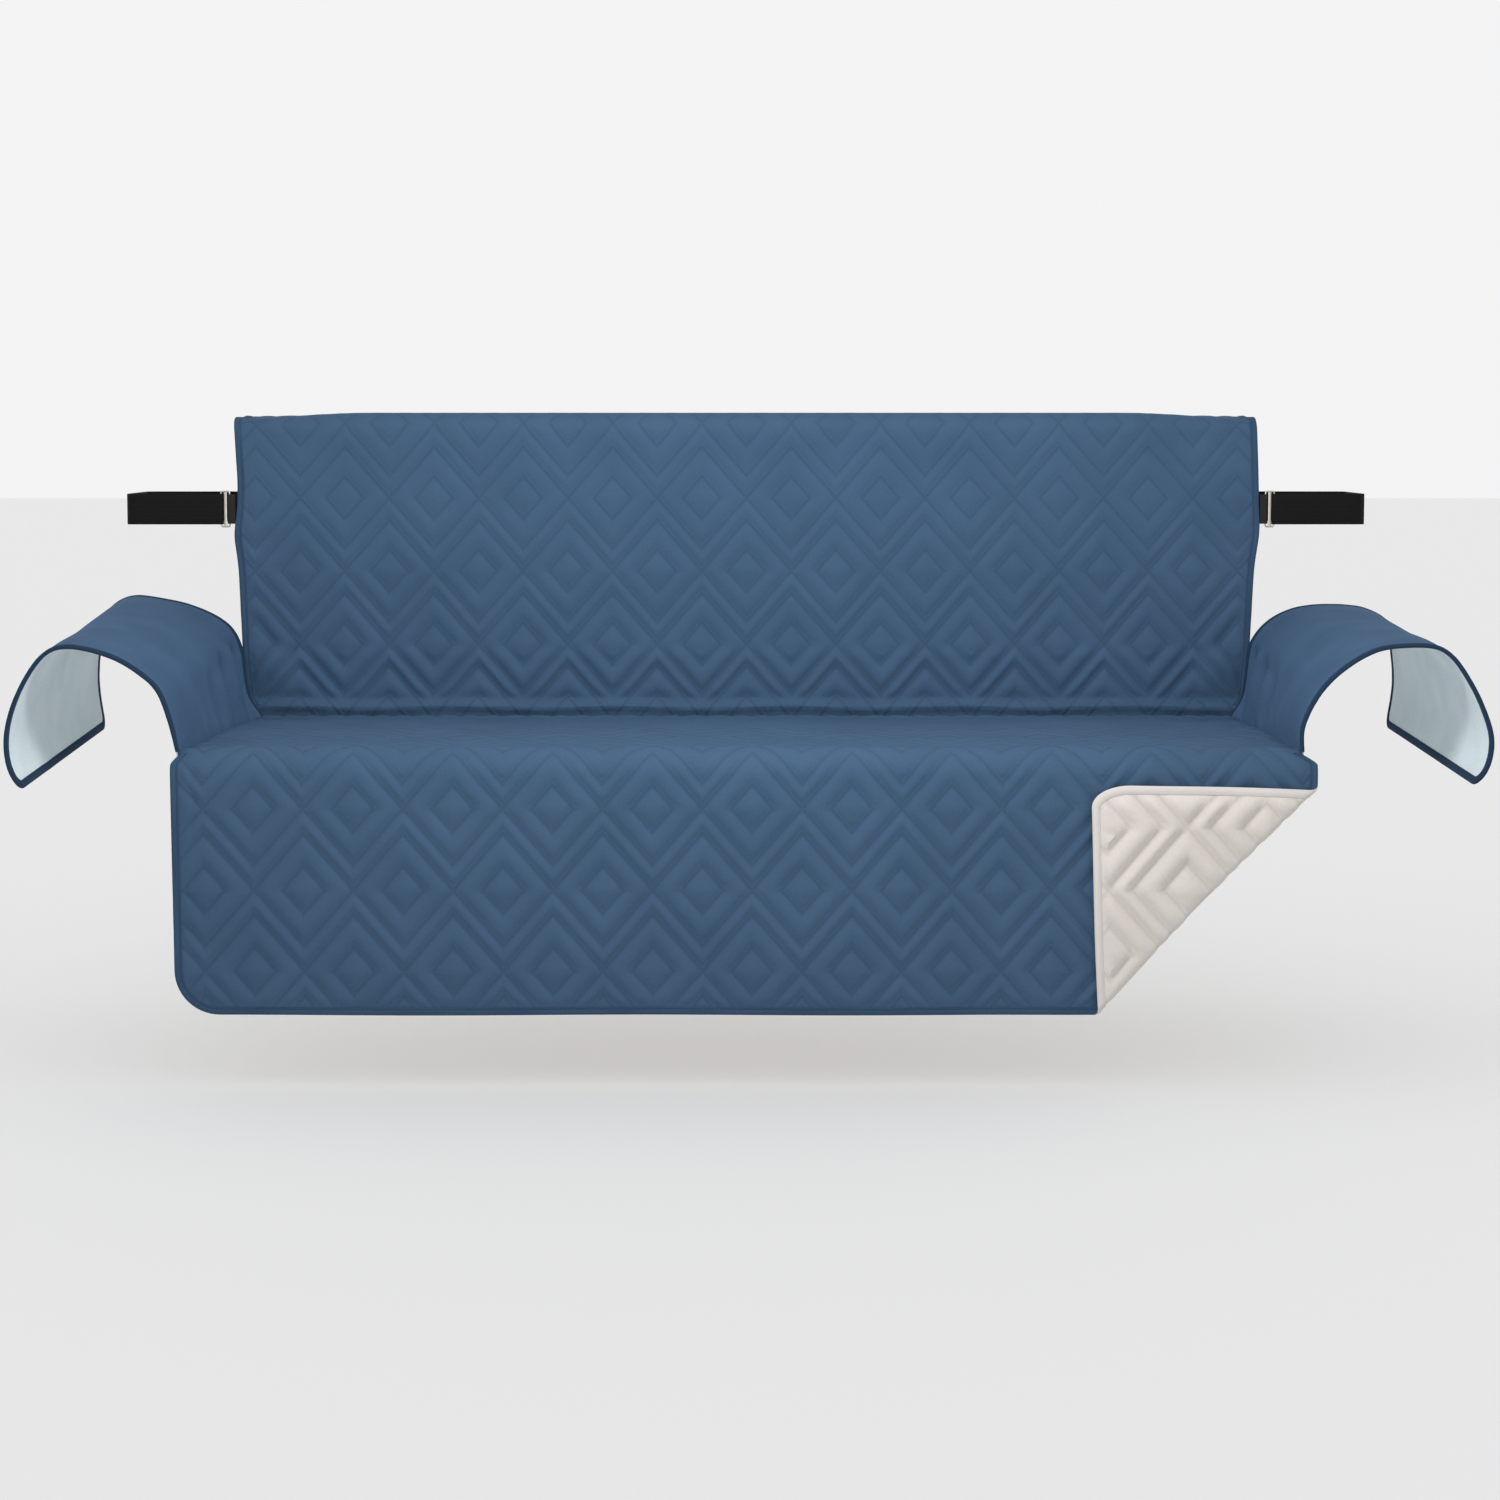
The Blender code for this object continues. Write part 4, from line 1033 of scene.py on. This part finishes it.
def arm_layer(cloth, side):
    edge = inset_by(cloth.edge(), EDGE_INSET)
    places = [float(w) for w in np.linspace(cloth.long - EDGE_INSET, 0.0, 71)]
    seam = [(-0.012 - 0.020 * (1 - step(0.0, 0.06, w)), w) for w in places]
    seam = [(0.0, cloth.long - EDGE_INSET)] + seam + [(-0.001, 0.0), (-0.001, EDGE_INSET)]
    step_size = 0.008
    spots = []
    for r in np.arange(step_size, cloth.round - EDGE_INSET - 0.004, step_size):
        for along in np.arange(EDGE_INSET + 0.006, cloth.long - EDGE_INSET - 0.004, step_size):
            corner_r = r - (cloth.round - ARM_CORNER)
            corner_w = max(ARM_CORNER - along, along - cloth.long + ARM_CORNER)
            if corner_r < 0 or corner_w < 0 or math.hypot(corner_r, corner_w) < ARM_CORNER - EDGE_INSET - 0.004:
                spots.append((float(r), float(along)))
    flat, faces, rim = triangulated(edge + seam, [], spots)
    points = [cloth.hang(r, along, side * CLOTH / 2) for r, along in flat]
    return points, faces, rim, [(r, along, side) for r, along in flat]


ARM_LIGHT, ARM_DEEP = (0.062, 0.122, 0.215), (0.042, 0.088, 0.160)
INSIDE_LIGHT, INSIDE_DEEP = (0.78, 0.86, 0.88), (0.62, 0.70, 0.73)
paint = Paint("smooth_microfibre", MICROFIBRE)
place, round_way, along, facing = paint.flat()
rough, tone = nap(paint, place)
outside = facing.ramp(-0.1, 0.1)
light = paint.mixed(outside, INSIDE_LIGHT, ARM_LIGHT)
deep = paint.mixed(outside, INSIDE_DEEP, ARM_DEEP)
arm_material = paint.finish(paint.mixed(tone.ramp(0.28, 0.72), deep, light), rough)
# The arm tapes are navy and darker than the panel's tape: partly the tape's own navy, partly painted shade, as these
# edges are seen edge-on in shade.
NAVY_LIGHT, NAVY_DEEP = (0.022, 0.050, 0.096), (0.012, 0.030, 0.062)
arm_tape = tape_material("arm_tape", NAVY_LIGHT, NAVY_DEEP, NAVY_LIGHT, NAVY_DEEP)

for word, cloth in (("left", left_cloth), ("right", right_cloth)):
    arm = two_sided(f"arm_{word}", arm_layer(cloth, 1), arm_layer(cloth, -1))
    arm.data.materials.append(arm_material)
    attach(arm, "root")
    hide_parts(f"arm_panel_{word}")
    tape = bound_tape(f"arm_{word}_binding", cloth.edge(), cloth.hang)
    tape.data.materials.append(arm_tape)
    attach(tape, "root")
    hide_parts(f"binding_arm_{word}")


# ------------------------------------------------------------ strap
# Ribbed black elastic, woven flat. It runs straight round behind, and each end goes through a
# slider and back along itself.

STRAP_Z = -0.148
STRAP_HEIGHT = 0.050
STRAP_THICKNESS = 0.0018
STRAP_HALF_WIDTH = 1.013
STRAP_REAR_Y = 0.104
STRAP_TURN = 0.012
STRAP_RETURN = 0.060
SLIDER_BAR = 0.0026
SLIDER_HEIGHT = 0.060
SLIDER_WIDTH = 0.0165
TAB_THICKNESS = 0.0014
TAB_HEIGHT = 0.048
TAB_REACH = 0.009
CLEAR = 0.0005


def arc_line(centre, radius, start, sweep, count):
    angles = [start + sweep * i / count for i in range(count + 1)]
    return [centre + radius * Vector((math.cos(a), math.sin(a))) for a in angles]


def filled_in(line, longest):
    """The same line with points added where they are further apart than longest."""
    found = [line[0]]
    for near, far in zip(line, line[1:]):
        count = max(1, math.ceil((far - near).length / longest))
        found += [near.lerp(far, i / count) for i in range(1, count + 1)]
    return found


def ribbon(name, line, thickness, height):
    """A woven band on edge along a line in plan, with soft edges and closed ends."""
    levels = [-1, -0.985, -0.95, -0.6, -0.2, 0.2, 0.6, 0.95, 0.985, 1]
    fullness = [0.35, 0.75, 1, 1, 1, 1, 1, 1, 0.75, 0.35]
    section = [(f, v) for f, v in zip(fullness, levels)]
    section += [(-f, v) for f, v in reversed(section)]
    points, faces, flat = [], [], []
    length = 0.0
    for i, point in enumerate(line):
        before, after = line[max(i - 1, 0)], line[min(i + 1, len(line) - 1)]
        length += (point - before).length
        way = (after - before).normalized()
        out = Vector((way.y, -way.x))
        for full, level in section:
            spot = point + out * full * thickness / 2
            points.append((spot.x, spot.y, STRAP_Z + level * height / 2))
            flat.append((length, level * height / 2, math.copysign(1, full)))
    size = len(section)
    for k in range(len(line) - 1):
        for i in range(size):
            j = (i + 1) % size
            a, b = k * size, (k + 1) * size
            faces.append((a + j, a + i, b + i, b + j))
    faces.append(tuple(range(size)))
    faces.append(tuple(reversed(range(len(points) - size, len(points)))))
    return add_piece(name, points, faces, flat)


def back_s(z):
    """The cloth's s where it passes a height on the front of the back."""
    start, _, at, heading, _, _ = LEGS[4]
    return start - TUCK + (at.y - z) / abs(heading.y)


level_y = run_at(back_s(STRAP_Z))[0].x
bar_reach = SLIDER_BAR / 2 * math.sqrt(2) + CLEAR
strap_loop = bar_reach + STRAP_THICKNESS / 2
tab_loop = bar_reach + TAB_THICKNESS / 2
tab_edges = {}
for side in (-1, 1):
    ends = [back_s(STRAP_Z + way * TAB_HEIGHT / 2) for way in (-1, 1)]
    widest = max(float(np.interp(s, [w[0] for w in WIDTHS], [w[1 if side < 0 else 2] for w in WIDTHS])) for s in ends)
    tab_edges[side] = side * (widest + 0.0003)
strap_ends = []
for side in (-1, 1):
    bar = tab_edges[side] + side * (TAB_REACH + SLIDER_WIDTH - SLIDER_BAR)
    centre = Vector((bar, level_y))
    turn = arc_line(centre, strap_loop, math.pi / 2, side * math.pi, 14)
    strap_ends.append([centre + Vector((side * STRAP_RETURN, strap_loop))] + turn)
front_y = level_y - strap_loop
wrap = []
for x, y, start in ((-1, front_y, 1.5), (-1, STRAP_REAR_Y, 1.0), (1, STRAP_REAR_Y, 0.5), (1, front_y, 0.0)):
    centre_y = y + STRAP_TURN if y == front_y else y - STRAP_TURN
    centre = Vector((x * (STRAP_HALF_WIDTH - STRAP_TURN), centre_y))
    wrap += arc_line(centre, STRAP_TURN, start * math.pi, -math.pi / 2, 10)
strap_line = strap_ends[0] + wrap + list(reversed(strap_ends[1]))
strap = ribbon("elastic_strap", filled_in(strap_line, 0.02), STRAP_THICKNESS, STRAP_HEIGHT)

RIB_PITCH = 0.0021
PICK_PITCH = 0.0012
paint = Paint("black_elastic", {"Roughness": 0.7, "Specular IOR Level": 0.15})
place, length, level, facing = paint.flat()
ribs = abs((level * (math.pi / RIB_PITCH)).sine())
picks = abs((length * (math.pi / PICK_PITCH) + (level / RIB_PITCH).floor() * (math.pi / 2)).sine())
weave = ribs * (0.6 + 0.4 * picks)
colour = paint.mixed(weave * 0.8 + 0.2 * paint.noise(place, 60.0), (0.002, 0.002, 0.002), (0.006, 0.006, 0.006))
strap.data.materials.append(paint.finish(colour, 0.0003 * weave, 0.75 - 0.2 * weave))
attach(strap, "root")
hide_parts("strap")


# ------------------------------------------------------------ sliders and tabs
# Each slider is a bent and welded wire frame with a flat bar across its middle, plated. The tab
# is a short loop of black webbing that is sewn into the back's edge and holds the slider.

paint = Paint("plated_wire", {"Metallic": 1.0, "Roughness": 0.32})
where = paint.node("ShaderNodeTexCoord", {}, {}, 3)
smear = paint.noise(where, 90.0, 3.0)
scratch = paint.noise(where, 900.0, 2.0)
colour = paint.mixed(smear, (0.50, 0.46, 0.42), (0.72, 0.68, 0.62))
metal = paint.finish(colour, 0.00003 * scratch, 0.26 + 0.18 * smear)

paint = Paint("black_webbing", {"Roughness": 0.7, "Specular IOR Level": 0.3})
place, length, level, facing = paint.flat()
WARP_PITCH = 0.0016
WEFT_PITCH = 0.0013
warp = abs((level * (math.pi / WARP_PITCH)).sine())
weft = abs((length * (math.pi / WEFT_PITCH)).sine())
colour = paint.mixed(warp * weft, (0.006, 0.006, 0.006), (0.020, 0.019, 0.018))
webbing = paint.finish(colour, 0.00025 * (warp * 0.6 + weft * 0.4))


def slider_frame(name, inner, outer):
    """A rounded wire frame round the two bars, with the flat middle bar between the loops."""
    low, high = sorted((inner, outer))
    tall = SLIDER_HEIGHT / 2 - SLIDER_BAR / 2
    bend = 0.0022
    left, right, top = low + bend, high - bend, tall - bend
    path = []
    for start, corner in enumerate(((right, top), (left, top), (left, bend - tall), (right, bend - tall))):
        path += arc_line(Vector(corner), bend, start * math.pi / 2, math.pi / 2, 5)
    centre = Vector(((low + high) / 2, 0))
    points, faces = [], []
    size = 12
    for i, p in enumerate(path):
        way = (path[(i + 1) % len(path)] - path[i - 1]).normalized()
        out = Vector((way.y, -way.x))
        for k in range(size):
            angle = 2 * math.pi * k / size
            spot = p + out * math.cos(angle) * SLIDER_BAR / 2
            points.append((spot.x, level_y + math.sin(angle) * SLIDER_BAR / 2, STRAP_Z + spot.y))
    for i in range(len(path)):
        a, b = i * size, (i + 1) % len(path) * size
        for k in range(size):
            m = (k + 1) % size
            faces.append((a + k, a + m, b + m, b + k))
    half, thin, edge = 0.0025, 0.0007, 0.0003
    section = [(-half, -thin + edge), (-half + edge, -thin), (half - edge, -thin), (half, -thin + edge)]
    section += [(half, thin - edge), (half - edge, thin), (edge - half, thin), (-half, thin - edge)]
    base = len(points)
    for z in (-tall, tall):
        points += [(centre.x + x, level_y + y, STRAP_Z + z) for x, y in section]
    count = len(section)
    for k in range(count):
        m = (k + 1) % count
        faces.append((base + k, base + m, base + count + m, base + count + k))
    faces.append(tuple(reversed(range(base, base + count))))
    faces.append(tuple(range(base + count, base + 2 * count)))
    return add_piece(name, points, faces, [(0.0, 0.0, 0.0)] * len(points))


for side, word in ((-1, "left"), (1, "right")):
    edge = tab_edges[side]
    inner_bar = edge + side * TAB_REACH
    outer_bar = inner_bar + side * (SLIDER_WIDTH - SLIDER_BAR)
    slider = slider_frame(f"wire_slider_{word}", inner_bar, outer_bar)
    slider.data.materials.append(metal)
    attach(slider, "root")
    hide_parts(f"slider_{word}")
    turn = arc_line(Vector((inner_bar, level_y)), tab_loop, -math.pi / 2, side * math.pi, 14)
    line = [Vector((edge, turn[0].y))] + turn + [Vector((edge, turn[-1].y))]
    tab = ribbon(f"webbing_tab_{word}", line, TAB_THICKNESS, TAB_HEIGHT)
    tab.data.materials.append(webbing)
    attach(tab, "root")
    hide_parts(f"tab_{word}")


# The key lights the cover's pieces and not the floor
lit = bpy.data.collections.new("lit")
for piece in bpy.context.scene.objects:
    if piece.type == "MESH" and piece is not floor:
        lit.objects.link(piece)
key.light_linking.receiver_collection = lit
